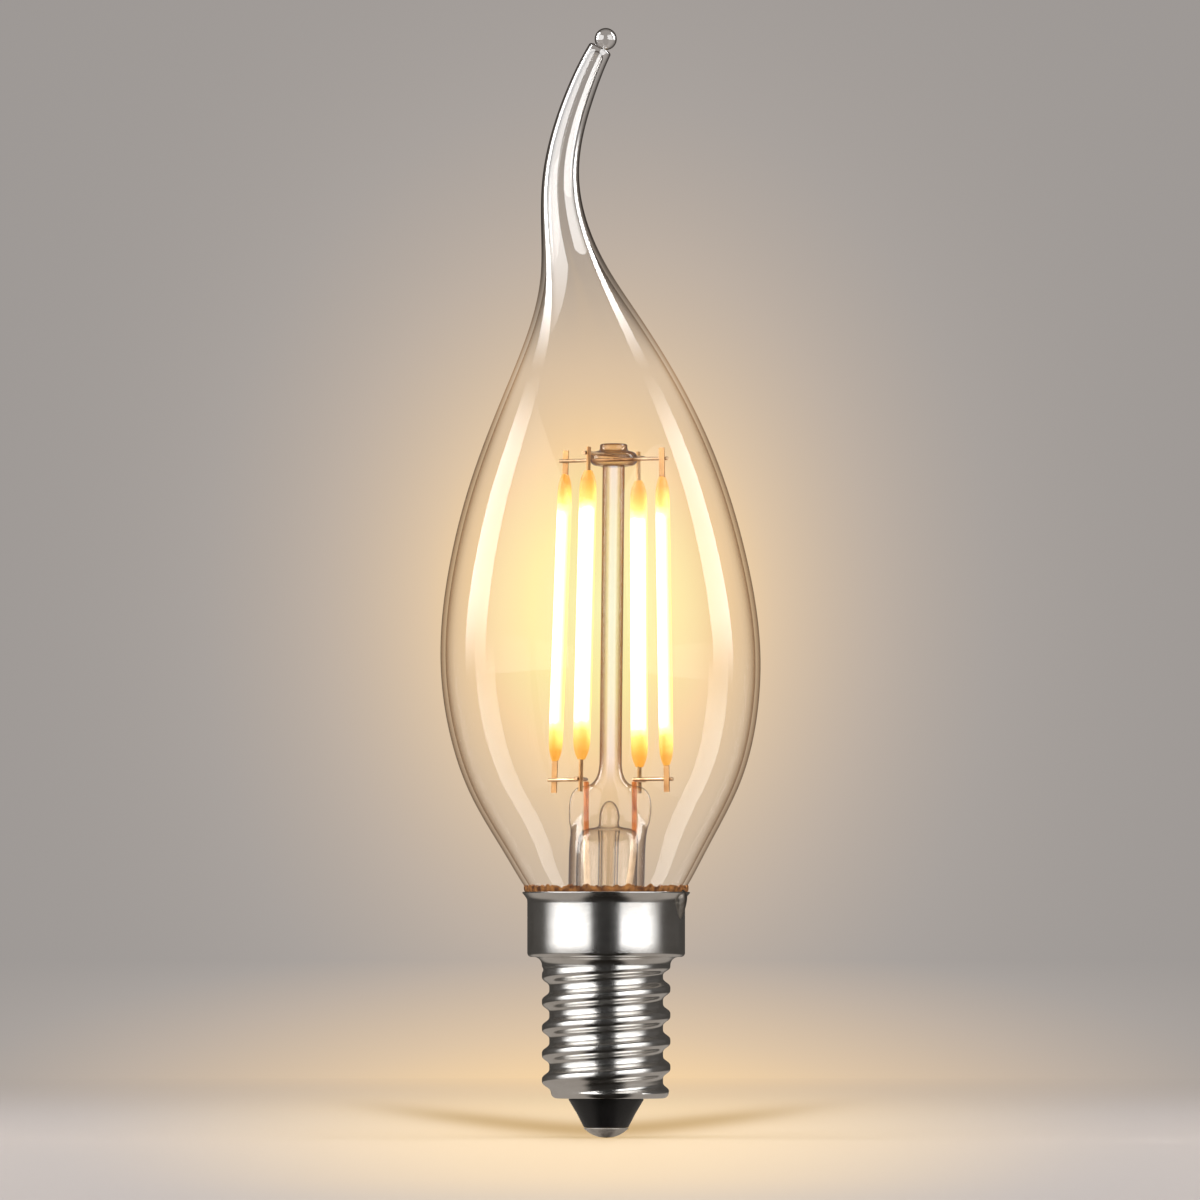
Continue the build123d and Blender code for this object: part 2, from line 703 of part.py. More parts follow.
with BuildPart() as side_solder:
    drop_r = SOLDER_D / 2
    drop_x = skirt_r - SOLDER_INSET
    side_across = (sin(radians(SIDE_ANGLE)), -cos(radians(SIDE_ANGLE)), 0)
    with BuildSketch(Plane(origin=(0, 0, 0), x_dir=polar(1, SIDE_ANGLE, 0), z_dir=side_across)):
        with BuildLine():
            crest = (drop_x, z_rim + SOLDER_RISE)
            crown = TangentArc(crest, (drop_x + drop_r, z_rim - drop_r / 2), tangent=(1, 0))
            flank = TangentArc(crown @ 1, (drop_x, z_rim - SOLDER_DROP), tangent=crown % 1)
            Line(flank @ 1, crown @ 0)
        make_face()
    revolve(axis=Axis(polar(drop_x, SIDE_ANGLE, 0), (0, 0, 1)))
    with BuildSketch(Plane.XZ):
        with BuildLine():
            outline = skirt_outline()
            Polyline(outline @ 1, (0, z_rim), (0, z_thread_end), outline @ 0)
        make_face()
    revolve(axis=Axis.Z, mode=Mode.SUBTRACT)
    add(cap_skirt.part, mode=Mode.SUBTRACT)
    add(basing_cement.part, mode=Mode.SUBTRACT)
    add(glass_outside.part, mode=Mode.SUBTRACT)
    add(side_wire.part, mode=Mode.SUBTRACT)
finish(side_solder, "side_solder")
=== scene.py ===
import json
from math import cos, pi, radians, sin, tan

import bpy
import numpy as np
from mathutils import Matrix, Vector


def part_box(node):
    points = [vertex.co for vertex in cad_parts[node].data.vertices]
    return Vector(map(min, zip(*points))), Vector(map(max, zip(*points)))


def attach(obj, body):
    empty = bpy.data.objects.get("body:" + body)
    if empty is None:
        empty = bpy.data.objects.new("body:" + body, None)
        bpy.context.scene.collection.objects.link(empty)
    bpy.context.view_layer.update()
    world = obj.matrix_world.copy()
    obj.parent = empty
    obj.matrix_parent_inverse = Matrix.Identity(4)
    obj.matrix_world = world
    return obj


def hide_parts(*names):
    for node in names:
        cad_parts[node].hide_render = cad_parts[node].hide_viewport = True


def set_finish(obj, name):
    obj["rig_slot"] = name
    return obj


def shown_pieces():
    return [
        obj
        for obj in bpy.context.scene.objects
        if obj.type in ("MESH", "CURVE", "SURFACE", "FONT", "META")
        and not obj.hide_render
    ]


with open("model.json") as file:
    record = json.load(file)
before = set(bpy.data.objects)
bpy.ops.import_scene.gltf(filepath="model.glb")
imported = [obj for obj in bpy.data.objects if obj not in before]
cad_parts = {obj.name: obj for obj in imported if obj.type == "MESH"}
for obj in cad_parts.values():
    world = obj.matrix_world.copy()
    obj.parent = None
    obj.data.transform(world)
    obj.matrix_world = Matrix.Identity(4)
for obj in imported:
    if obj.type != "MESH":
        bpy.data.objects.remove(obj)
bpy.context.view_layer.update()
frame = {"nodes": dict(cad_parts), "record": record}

# Sizes are in millimetres, as in the part's source, and meshes are written in metres.
# The origin is the tip of the centre contact, +Z runs up the cap's axis and the front faces -Y.
MM = 0.001


def box_mm(node):
    """A node's lowest and highest corners in millimetres."""
    low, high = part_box(node)
    return np.array(low) / MM, np.array(high) / MM


# Heights and places read from the frame
Z_FLOOR = box_mm("cap_shell")[0][2]
Z_NECK = box_mm("glass_envelope")[0][2]
Z_CONTACT = box_mm("insulator")[0][2]
Z_RIM = Z_NECK + 5.2
Z_ROD = box_mm("support_rod")[0][2]
Z_BEAD = box_mm("support_rod")[1][2]
STEM_X = 0.45
ROD_LEAN = radians(0.6)

# Cap
THREAD_MEAN_R = 6.545
THREAD_THROW = 0.4
THREAD_PITCH = 2.822
THREAD_START = radians(-66.0)
THREAD_RUN_IN = 1.9
THREAD_RUN_OUT = 1.0
Z_THREAD_END = Z_FLOOR + 14.3
Z_SKIRT = Z_THREAD_END + 0.95
Z_LIP = Z_SKIRT + 6.2
COLLAR_R = 6.945
SKIRT_R = 8.525
LIP_FLARE = 0.5
FLOOR_ROUND = 0.6
FLOOR_HOLE_R = 3.52
SHEET = 0.3
BORE_R = 5.445

# Glass: height as a share of the rise, place to the left as a share of the swing, and radius
GLASS_WALL = 0.55
GLASS_RISE = 91.6
TAIL_SWING = 4.92
NECK_RADII = [(-5.2, 6.2), (-2.6, 6.726), (0.0, 8.305)]
BOWL = [
    (0.046, 0.010, 10.761),
    (0.120, 0.041, 14.446),
    (0.197, 0.077, 16.608),
    (0.280, 0.126, 17.300),
    (0.393, 0.175, 16.054),
    (0.502, 0.228, 13.252),
    (0.590, 0.325, 9.861),
    (0.666, 0.488, 6.384),
    (0.731, 0.711, 3.746),
    (0.786, 0.915, 2.572),
    (0.841, 1.000, 2.025),
    (0.895, 0.864, 1.721),
    (0.950, 0.539, 1.525),
    (1.000, 0.116, 1.300),
]
TAIL_LEAN = radians(29.0)
TIP_SEAL = 1.2
TIP_BALL_R = 1.2
TIP_BALL_STEP = 1.08


# Meshes


def skin(rings, loop=False):
    """Faces of a surface through rings of points: quads between neighbours, and a fan to each end's middle.
    The order of the rings gives the outside: along the turn, times along the rings, points outwards.
    With loop the last ring joins the first, and there are no fans."""
    count, around = rings.shape[:2]
    index = np.arange(count * around).reshape(count, around)
    lower = index if loop else index[:-1]
    upper = np.roll(index, -1, axis=0) if loop else index[1:]
    quads = np.stack([lower, np.roll(lower, -1, 1), np.roll(upper, -1, 1), upper], -1).reshape(-1, 4)
    points = rings.reshape(-1, 3)
    faces = quads.tolist()
    if not loop:
        first, last = count * around, count * around + 1
        points = np.vstack([points, rings[0].mean(0), rings[-1].mean(0)])
        turned = np.roll(index, -1, 1)
        foot = np.stack([np.full(around, first), turned[0], index[0]], -1)
        head = np.stack([np.full(around, last), index[-1], turned[-1]], -1)
        faces += foot.tolist() + head.tolist()
    return points, faces


def piece(name, surface, slot, replaced=(), crease=40.0, along=None):
    """A piece of the bulb made from points in millimetres and faces, riding on the one body.
    A value for each point can be kept on it for its finish, such as the distance along the piece."""
    points, faces = surface
    mesh = bpy.data.meshes.new(name)
    mesh.from_pydata((points * MM).tolist(), [], faces)
    mesh.shade_smooth()
    mesh.set_sharp_from_angle(angle=radians(crease))
    if along is not None:
        mesh.attributes.new("along", "FLOAT", "POINT").data.foreach_set("value", along.astype(np.float32))
    mesh.update()
    made = bpy.data.objects.new(name, mesh)
    bpy.context.scene.collection.objects.link(made)
    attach(made, "root")
    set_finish(made, slot)
    if replaced:
        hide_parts(*replaced)
    return made


def turn(steps):
    """Even angles round a full turn."""
    return np.linspace(0, 2 * pi, steps, endpoint=False)


def level_rings(radius, height, angle, middle_x=0.0):
    """Level rings round an upright axis: radius, height and middle are one value a ring or one a point."""
    given = [np.asarray(value) for value in (radius, height, middle_x)]
    columns = [value[:, None] if value.ndim == 1 else value for value in given]
    radius, height, middle = np.broadcast_arrays(*columns, angle[None, :])[:3]
    return np.stack([middle + radius * np.cos(angle), radius * np.sin(angle), height], -1)


def cubic(x, xs, ys, first=None, last=None):
    """A smooth curve through points: piecewise cubics whose slopes solve the spline's equations,
    with an end's slope given or its curvature zero."""
    step = np.diff(xs)
    rise = np.diff(ys) / step
    size = len(xs)
    rows = np.zeros((size, size))
    right = np.zeros(size)
    inner = np.arange(1, size - 1)
    rows[inner, inner - 1] = step[1:]
    rows[inner, inner] = 2 * (step[:-1] + step[1:])
    rows[inner, inner + 1] = step[:-1]
    right[inner] = 3 * (step[1:] * rise[:-1] + step[:-1] * rise[1:])
    rows[0, :2], right[0] = ((2, 1), 3 * rise[0]) if first is None else ((1, 0), first)
    rows[-1, -2:], right[-1] = ((1, 2), 3 * rise[-1]) if last is None else ((0, 1), last)
    slope = np.linalg.solve(rows, right)
    at = np.clip(np.searchsorted(xs, x) - 1, 0, size - 2)
    t = (x - xs[at]) / step[at]
    near = ys[at] * (1 + 2 * t) * (1 - t) ** 2 + ys[at + 1] * t**2 * (3 - 2 * t)
    return near + step[at] * (slope[at] * t * (1 - t) ** 2 - slope[at + 1] * t**2 * (1 - t))


def arc(middle, radius, start, end, steps):
    """Points on an arc in the radius and height plane, angles in degrees from straight out."""
    angle = np.radians(np.linspace(start, end, steps))
    return np.stack([middle[0] + radius * np.cos(angle), middle[1] + radius * np.sin(angle)], -1)


def revolved(profile, steps=96):
    """A closed form turned from a line of radius and height that starts and ends near the axis."""
    profile = np.array(profile)
    return skin(level_rings(profile[:, 0], profile[:, 1], turn(steps)))


# Finishes


def add_node(tree, kind, inputs=None, **properties):
    """A node in a tree with its properties and input values set."""
    node = tree.nodes.new(kind)
    for key, value in properties.items():
        setattr(node, key, value)
    set_inputs(node, inputs or {})
    return node


def set_inputs(node, values):
    """Plain values on a node's own sockets."""
    for key, value in values.items():
        node.inputs[key].default_value = value


class Finish:
    """A new material's node tree with short ways to add and link nodes."""

    def __init__(self, name, **values):
        self.material = bpy.data.materials.new(name)
        self.material.use_nodes = True
        self.tree = self.material.node_tree
        self.shader = self.tree.nodes["Principled BSDF"]
        self.output = self.tree.nodes["Material Output"]
        set_inputs(self.shader, {key.replace("_", " "): value for key, value in values.items()})

    def add(self, kind, inputs=None, **properties):
        """A node with its properties and input values set."""
        return add_node(self.tree, kind, inputs, **properties)

    def group(self, tree, values):
        """A shared group with its own values."""
        node = self.add("ShaderNodeGroup", node_tree=tree)
        set_inputs(node, values)
        return node

    def link(self, start, end):
        """Joins an output to an input."""
        self.tree.links.new(start, end)

    def feed(self, start, name):
        """Joins an output to one of the shader's inputs."""
        self.link(start, self.shader.inputs[name])

    def math(self, operation, *values):
        """One step of arithmetic on outputs or plain numbers."""
        node = self.add("ShaderNodeMath", operation=operation)
        for socket, value in zip(node.inputs, values):
            if isinstance(value, (int, float)):
                socket.default_value = value
            else:
                self.link(value, socket)
        return node.outputs[0]

    def blend(self, mask, low, high):
        """A colour between two, by a mask."""
        mix = self.add("ShaderNodeMix", data_type="RGBA")
        self.link(mask, mix.inputs["Factor"])
        for socket, colour in ((mix.inputs["A"], low), (mix.inputs["B"], high)):
            if isinstance(colour, tuple):
                socket.default_value = (*colour, 1)
            else:
                self.link(colour, socket)
        return mix.outputs["Result"]

    def spread(self, value, low, high, to_low=0.0, to_high=1.0, smooth=False):
        """A value taken from one range to another."""
        span = self.add("ShaderNodeMapRange", interpolation_type="SMOOTHSTEP" if smooth else "LINEAR")
        set_inputs(span, {"From Min": low, "From Max": high, "To Min": to_low, "To Max": to_high})
        self.link(value, span.inputs["Value"])
        return span.outputs["Result"]

    def ramp(self, value, stops):
        """A colour along a row of stops."""
        node = self.add("ShaderNodeValToRGB")
        ends = node.color_ramp.elements
        ends[0].position, ends[0].color = stops[0]
        ends[1].position, ends[1].color = stops[-1]
        for at, colour in stops[1:-1]:
            ends.new(at).color = colour
        self.link(value, node.inputs["Fac"])
        return node.outputs["Color"]

    def bump(self, height, strength, distance):
        """A height that tilts the shader's normal."""
        node = self.add("ShaderNodeBump", {"Strength": strength, "Distance": distance})
        self.link(height, node.inputs["Height"])
        self.feed(node.outputs["Normal"], "Normal")

    def mixed(self, mask, first, second):
        """Two shaders by a mask, as the surface."""
        mix = self.add("ShaderNodeMixShader")
        self.link(mask, mix.inputs[0])
        self.link(first, mix.inputs[1])
        self.link(second, mix.inputs[2])
        self.link(mix.outputs[0], self.output.inputs["Surface"])


def new_group(name, inputs, outputs):
    """An empty shared group with named inputs, each with its value, and named outputs."""
    tree = bpy.data.node_groups.new(name, "ShaderNodeTree")
    for label, value in inputs.items():
        tree.interface.new_socket(label, in_out="INPUT", socket_type="NodeSocketFloat").default_value = value
    for label in outputs:
        tree.interface.new_socket(label, in_out="OUTPUT", socket_type="NodeSocketFloat")
    return tree, tree.nodes.new("NodeGroupInput"), tree.nodes.new("NodeGroupOutput")


def worn_metal_group():
    """Handling marks: cloudy stain, hairlines round the axis and a broken crackle."""
    scales = {"Cloud Scale": 260.0, "Hair Scale": 900.0, "Crackle Scale": 700.0}
    tree, given, made = new_group("worn_metal", scales, ["Stain", "Hairlines", "Crackle"])
    place = add_node(tree, "ShaderNodeTexCoord")
    cloud = add_node(tree, "ShaderNodeTexNoise", {"Detail": 5.0, "Roughness": 0.6})
    squeeze = add_node(tree, "ShaderNodeVectorMath", {1: (0.22, 0.22, 3.0)}, operation="MULTIPLY")
    hair = add_node(tree, "ShaderNodeTexNoise", {"Detail": 3.0, "Roughness": 0.7})
    shake = add_node(tree, "ShaderNodeVectorMath", {1: (0.003, 0.003, 0.003)}, operation="MULTIPLY")
    warp = add_node(tree, "ShaderNodeVectorMath", operation="ADD")
    crack = add_node(tree, "ShaderNodeTexVoronoi", feature="DISTANCE_TO_EDGE")
    ridge = add_node(tree, "ShaderNodeMapRange", {"From Max": 0.12, "To Min": 1.0, "To Max": 0.0})
    for start, end in (
        (place.outputs["Object"], cloud.inputs["Vector"]),
        (given.outputs["Cloud Scale"], cloud.inputs["Scale"]),
        (place.outputs["Object"], squeeze.inputs[0]),
        (squeeze.outputs[0], hair.inputs["Vector"]),
        (given.outputs["Hair Scale"], hair.inputs["Scale"]),
        (cloud.outputs["Color"], shake.inputs[0]),
        (place.outputs["Object"], warp.inputs[0]),
        (shake.outputs[0], warp.inputs[1]),
        (warp.outputs[0], crack.inputs["Vector"]),
        (given.outputs["Crackle Scale"], crack.inputs["Scale"]),
        (crack.outputs["Distance"], ridge.inputs["Value"]),
        (cloud.outputs["Fac"], made.inputs["Stain"]),
        (hair.outputs["Fac"], made.inputs["Hairlines"]),
        (ridge.outputs["Result"], made.inputs["Crackle"]),
    ):
        tree.links.new(start, end)
    return tree


def fine_grain_group():
    """Fine grain: a soft cloud and a speckle on it."""
    scales = {"Cloud Scale": 300.0, "Speckle Scale": 2500.0}
    tree, given, made = new_group("fine_grain", scales, ["Cloud", "Speckle"])
    place = add_node(tree, "ShaderNodeTexCoord")
    cloud = add_node(tree, "ShaderNodeTexNoise", {"Detail": 4.0})
    speckle = add_node(tree, "ShaderNodeTexNoise", {"Detail": 6.0, "Roughness": 0.65})
    for node, scale, label in ((cloud, "Cloud Scale", "Cloud"), (speckle, "Speckle Scale", "Speckle")):
        tree.links.new(place.outputs["Object"], node.inputs["Vector"])
        tree.links.new(given.outputs[scale], node.inputs["Scale"])
        tree.links.new(node.outputs["Fac"], made.inputs[label])
    return tree


WORN_METAL = worn_metal_group()
FINE_GRAIN = fine_grain_group()


RIPPLE_HEIGHT = 0.0004
WEAR_HEIGHT = 0.00008


def glass(name, clear, edges, coat_ior, ripple, ripple_scale, roughness=0.0):
    """Clear glass with a slow ripple from mould or flame, which does not bend what is behind it.
    The way through it is longest at a slant, and tints it there; the tint is partly that and partly painted
    shade, the dark rim that bent light gives real glass. edges has two rows, low and high on the piece, each
    with its height, the slant where the tint starts, the slant where it is full, and the tint.
    The glass lets lamplight through, and its shine is a coat. Gives the finish and the high part's mask."""
    made = Finish(name, Roughness=roughness, IOR=1.0, Transmission_Weight=1.0)
    set_inputs(made.shader, {"Coat Weight": 1.0, "Coat IOR": coat_ior, "Coat Roughness": 0.02})
    place = made.add("ShaderNodeTexCoord")
    parts = made.add("ShaderNodeSeparateXYZ")
    made.link(place.outputs["Object"], parts.inputs[0])
    (low_z, low_from, low_full, low_tint), (high_z, high_from, high_full, high_tint) = edges
    high = made.spread(parts.outputs["Z"], low_z, high_z, smooth=True)
    slant = made.add("ShaderNodeLayerWeight", {"Blend": 0.5}).outputs["Facing"]
    # Tint at a slant: partly the longer way through the wall, partly painted rim shade
    low_edge = made.blend(made.spread(slant, low_from, low_full, smooth=True), clear, low_tint)
    high_edge = made.blend(made.spread(slant, high_from, high_full, smooth=True), clear, high_tint)
    made.feed(made.blend(high, low_edge, high_edge), "Base Color")
    grain = made.group(FINE_GRAIN, {"Cloud Scale": ripple_scale, "Speckle Scale": ripple_scale * 4})
    made.bump(grain.outputs["Cloud"], ripple, RIPPLE_HEIGHT)
    path = made.add("ShaderNodeLightPath")
    through = made.add("ShaderNodeBsdfTransparent", {"Color": (*clear, 1)})
    made.mixed(path.outputs["Is Shadow Ray"], made.shader.outputs[0], through.outputs[0])
    return made, high


# Rows of height in metres, slant where the tint starts, slant where it is full, and tint, which is partly
# painted rim shade
ENVELOPE_EDGES = [(0.082, 0.6, 1.08, (0.42, 0.25, 0.09)), (0.100, 0.25, 0.72, (0.06, 0.045, 0.034))]
STEM_EDGES = [(0.037, 0.12, 0.85, (0.12, 0.04, 0.006)), (0.042, -0.1, 0.42, (0.33, 0.17, 0.06))]
BEAD_EDGES = [(0.078, 0.05, 0.7, (0.14, 0.06, 0.02)), (0.080, 0.0, 0.6, (0.07, 0.035, 0.015))]


def envelope_glass(name, coat_ior, shine_from, shine_full):
    """Blown glass that shines most on its outside, from none at one height to full at another."""
    made, _ = glass(name, (1.0, 0.99, 0.975), ENVELOPE_EDGES, coat_ior, 0.02, 45.0)
    place = made.add("ShaderNodeTexCoord")
    parts = made.add("ShaderNodeSeparateXYZ")
    made.link(place.outputs["Object"], parts.inputs[0])
    outside = made.add("ShaderNodeAttribute", attribute_name="along")
    facing = made.add("ShaderNodeNewGeometry")
    front = made.math("SUBTRACT", 1.0, facing.outputs["Backfacing"])
    height = made.spread(parts.outputs["Z"], shine_from, shine_full, smooth=True)
    wall = made.spread(outside.outputs["Fac"], 0.0, 1.0, 0.5, 1.0)
    made.feed(made.math("MULTIPLY", made.math("MULTIPLY", front, height), wall), "Coat Weight")
    return made.material


def stem_glass():
    """Clear glass for the stem and the rod. The solid rod has a pale core of painted glow, as if it gathered
    light.
    """
    made, rod = glass("stem_glass", (0.98, 0.94, 0.88), STEM_EDGES, 1.45, 0.12, 260.0)
    slant = made.add("ShaderNodeLayerWeight", {"Blend": 0.5}).outputs["Facing"]
    # Painted glow: the rod's pale core is a faint light of its own, not light it gathers
    set_inputs(made.shader, {"Emission Color": (0.06, 0.1, 0.19, 1)})
    made.feed(made.math("MULTIPLY", rod, made.spread(slant, 0.1, 0.0, smooth=True)), "Emission Strength")
    return made.material


def metal(name, bright, dull, roughness, hair=0.12, crackle=0.0, scale=1.0, bare=1.0):
    """Metal, as bare as given: stain between two tones, hairlines in the gloss and a crackle of marks."""
    made = Finish(name, Metallic=bare)
    scales = {"Cloud Scale": 260.0, "Hair Scale": 900.0, "Crackle Scale": 700.0}
    wear = made.group(WORN_METAL, {label: value * scale for label, value in scales.items()})
    stain = made.spread(wear.outputs["Stain"], 0.4, 0.72)
    made.feed(made.blend(stain, bright, dull), "Base Color")
    gloss = made.spread(wear.outputs["Hairlines"], 0.3, 0.75, roughness * 0.94, roughness * 1.14)
    made.feed(gloss, "Roughness")
    marks = made.math("MULTIPLY", wear.outputs["Crackle"], crackle)
    made.bump(made.math("MULTIPLY_ADD", wear.outputs["Hairlines"], hair, marks), 0.5, WEAR_HEIGHT)
    return made.material


def moulding(name, dark, pale, roughness, bump=0.25, cloud=300.0, speckle=2500.0):
    """A dull solid finish: a cloudy colour between two tones and a fine speckle in its surface."""
    made = Finish(name)
    grain = made.group(FINE_GRAIN, {"Cloud Scale": cloud, "Speckle Scale": speckle})
    made.feed(made.blend(made.spread(grain.outputs["Cloud"], 0.35, 0.68), dark, pale), "Base Color")
    gloss = made.spread(grain.outputs["Speckle"], 0.3, 0.7, roughness * 0.85, roughness * 1.15)
    made.feed(gloss, "Roughness")
    made.bump(grain.outputs["Speckle"], bump, 0.00015)
    return made.material


SEAL_FROM = 0.0318
SEAL_FULL = 0.0332


def sealing_wire():
    """A lead's finish: pale nickel below, and copper red where it is sealed in the press."""
    made = Finish("sealing_wire", Metallic=0.3, Roughness=0.4)
    wear = made.group(WORN_METAL, {"Cloud Scale": 520.0, "Hair Scale": 1800.0, "Crackle Scale": 1400.0})
    stain = made.spread(wear.outputs["Stain"], 0.4, 0.72)
    place = made.add("ShaderNodeTexCoord")
    parts = made.add("ShaderNodeSeparateXYZ")
    made.link(place.outputs["Object"], parts.inputs[0])
    sealed = made.spread(parts.outputs["Z"], SEAL_FROM, SEAL_FULL)
    pale = made.blend(stain, (0.78, 0.62, 0.44), (0.5, 0.37, 0.24))
    red = made.blend(stain, (0.5, 0.16, 0.025), (0.22, 0.05, 0.008))
    made.feed(made.blend(sealed, pale, red), "Base Color")
    made.bump(wear.outputs["Hairlines"], 0.1, WEAR_HEIGHT)
    return made.material


def lit_phosphor():
    """Lit coating: white along one flank, yellow on the other, and amber at both ends."""
    made = Finish("phosphor", Base_Color=(0.3, 0.135, 0.018, 1), Roughness=0.55, Emission_Strength=4.0)
    way = made.add("ShaderNodeAttribute", attribute_name="along")
    grain = made.group(FINE_GRAIN, {"Cloud Scale": 900.0, "Speckle Scale": 4000.0})
    uneven = made.math("MULTIPLY_ADD", grain.outputs["Cloud"], 0.9, way.outputs["Fac"])
    lit = made.spread(uneven, 1.5, 5.0)
    inwards = made.ramp(lit, [
        (0.0, (0.13, 0.058, 0.005, 1)),
        (0.3, (0.18, 0.105, 0.014, 1)),
        (0.6, (0.24, 0.175, 0.04, 1)),
        (0.82, (0.45, 0.37, 0.16, 1)),
        (1.0, (1.0, 0.83, 0.5, 1)),
    ])
    facing = made.add("ShaderNodeNewGeometry")
    flank = made.add("ShaderNodeVectorMath", {1: (1.0, 0.0, 0.0)}, operation="DOT_PRODUCT")
    made.link(facing.outputs["Normal"], flank.inputs[0])
    side = made.math("MULTIPLY", made.spread(flank.outputs["Value"], 0.15, 0.85), lit)
    made.feed(made.blend(side, inwards, (0.4, 0.33, 0.075)), "Emission Color")
    made.bump(grain.outputs["Speckle"], 0.2, 0.0001)
    return made.material


FINISHES = {
    "envelope_glass": envelope_glass("envelope_glass", 1.35, 0.083, 0.073),
    "stem_glass": stem_glass(),
    "bead_glass": glass("bead_glass", (0.74, 0.58, 0.42), BEAD_EDGES, 1.4, 0.5, 900.0, 0.1)[0].material,
    "phosphor": lit_phosphor(),
    "carrier_strip": moulding("carrier_strip", (0.7, 0.69, 0.65), (0.85, 0.84, 0.8), 0.6),
    "tab_steel": metal("tab_steel", (0.48, 0.28, 0.12), (0.26, 0.12, 0.045), 0.3),
    "wire_nickel": metal("wire_nickel", (0.6, 0.42, 0.26), (0.3, 0.17, 0.08), 0.3, scale=2.0),
    "sealing_wire": sealing_wire(),
    "copper_wire": metal("copper_wire", (0.66, 0.34, 0.2), (0.4, 0.18, 0.1), 0.3, scale=2.0),
    "cap_nickel": metal("cap_nickel", (0.86, 0.84, 0.81), (0.76, 0.73, 0.69), 0.2, 0.008, 0.015),
    "contact_nickel": metal(
        "contact_nickel", (0.66, 0.62, 0.56), (0.45, 0.42, 0.38), 0.42, 0.2, 0.2, scale=2.0, bare=0.6
    ),
    "solder": metal("solder", (0.42, 0.39, 0.35), (0.2, 0.17, 0.14), 0.34, 0.1, 0.3, scale=2.0),
    "insulator_black": moulding("insulator_black", (0.004, 0.004, 0.004), (0.012, 0.011, 0.011), 0.4, 0.2),
    "cement": moulding("cement", (0.1, 0.03, 0.006), (0.45, 0.19, 0.045), 0.85, 1.0, 1500.0, 4000.0),
    "board": moulding("board", (0.04, 0.15, 0.07), (0.07, 0.24, 0.12), 0.45),
    "chip_black": moulding("chip_black", (0.012, 0.012, 0.013), (0.03, 0.03, 0.03), 0.5),
    "capacitor_sleeve": moulding("capacitor_sleeve", (0.012, 0.015, 0.03), (0.03, 0.035, 0.06), 0.3),
    "resistor_body": moulding("resistor_body", (0.42, 0.3, 0.17), (0.6, 0.46, 0.3), 0.5),
}


# Glass envelope


def glass_line():
    """Middle line of the glass: distance along it, place to the right, height and radius at each station."""
    neck = [(Z_RIM + rise, 0.0, radius) for rise, radius in NECK_RADII]
    bowl = [(Z_RIM + up * GLASS_RISE, -left * TAIL_SWING, radius) for up, left, radius in BOWL]
    height, drift, radius = np.array(neck + bowl).T
    along = np.concatenate([[0], np.cumsum(np.hypot(np.diff(height), np.diff(drift)))])
    return along, drift, height, radius


def glass_envelope():
    """One closed wall: rings across the bent middle line, whose radius follows the stations. The profile
    starts inside at the tail's seal, runs down to the neck's end, and back up the outside and over the ball.
    The value kept on each point is 1 on the outside."""
    along, drift, height, across = glass_line()
    length = along[-1]

    def middle(s):
        """Splines of drift and height along the line, and its lean; straight on past the tail's end."""
        inside = np.minimum(s, length)
        beyond = s - inside
        ends = ((drift, 0.0, sin(TAIL_LEAN)), (height, 1.0, cos(TAIL_LEAN)))
        x, z = (cubic(inside, along, v, first, last) for v, first, last in ends)
        low, high = np.clip(inside - 0.01, 0, length), np.clip(inside + 0.01, 0, length)
        dx, dz = (cubic(high, along, v, a, b) - cubic(low, along, v, a, b) for v, a, b in ends)
        return x + beyond * sin(TAIL_LEAN), z + beyond * cos(TAIL_LEAN), np.arctan2(dx, dz)

    inner_end = length - TIP_SEAL
    inner_top_r = cubic(np.array([inner_end]), along, across)[0] - GLASS_WALL
    dome = np.linspace(0.12, 1, 6) * pi / 2
    inner_s = np.linspace(inner_end, 0, 150)[1:]
    outer_s = np.linspace(0, length - 0.25, 170)
    shoulder = np.linspace(0.15, 0.85, 4) * pi / 2
    ball = np.linspace(np.arccos(-TIP_BALL_STEP / TIP_BALL_R * 0.97), 0.06, 18)
    s = np.concatenate([
        inner_end + inner_top_r * 0.9 * np.cos(dome),
        inner_s,
        outer_s,
        length - 0.25 + 0.25 * np.sin(shoulder),
        length + TIP_BALL_STEP + TIP_BALL_R * np.cos(ball),
    ])
    r = np.concatenate([
        inner_top_r * np.sin(dome),
        cubic(inner_s, along, across) - GLASS_WALL,
        cubic(outer_s, along, across),
        across[-1] - 0.35 * (1 - np.cos(shoulder)),
        TIP_BALL_R * np.sin(ball),
    ])
    x, z, lean = middle(s)
    angle = turn(128)
    side = r[:, None] * np.cos(angle)
    rings = np.stack([
        x[:, None] + side * np.cos(lean)[:, None],
        r[:, None] * np.sin(angle),
        z[:, None] - side * np.sin(lean)[:, None],
    ], -1)
    outside = np.arange(len(s)) >= len(dome) + len(inner_s)
    return skin(rings), np.concatenate([np.repeat(outside, len(angle)), [0, 1]])


surface, outside = glass_envelope()
envelope = piece("glass_envelope_blown", surface, "envelope_glass", ["glass_envelope"], along=outside)


# Cap


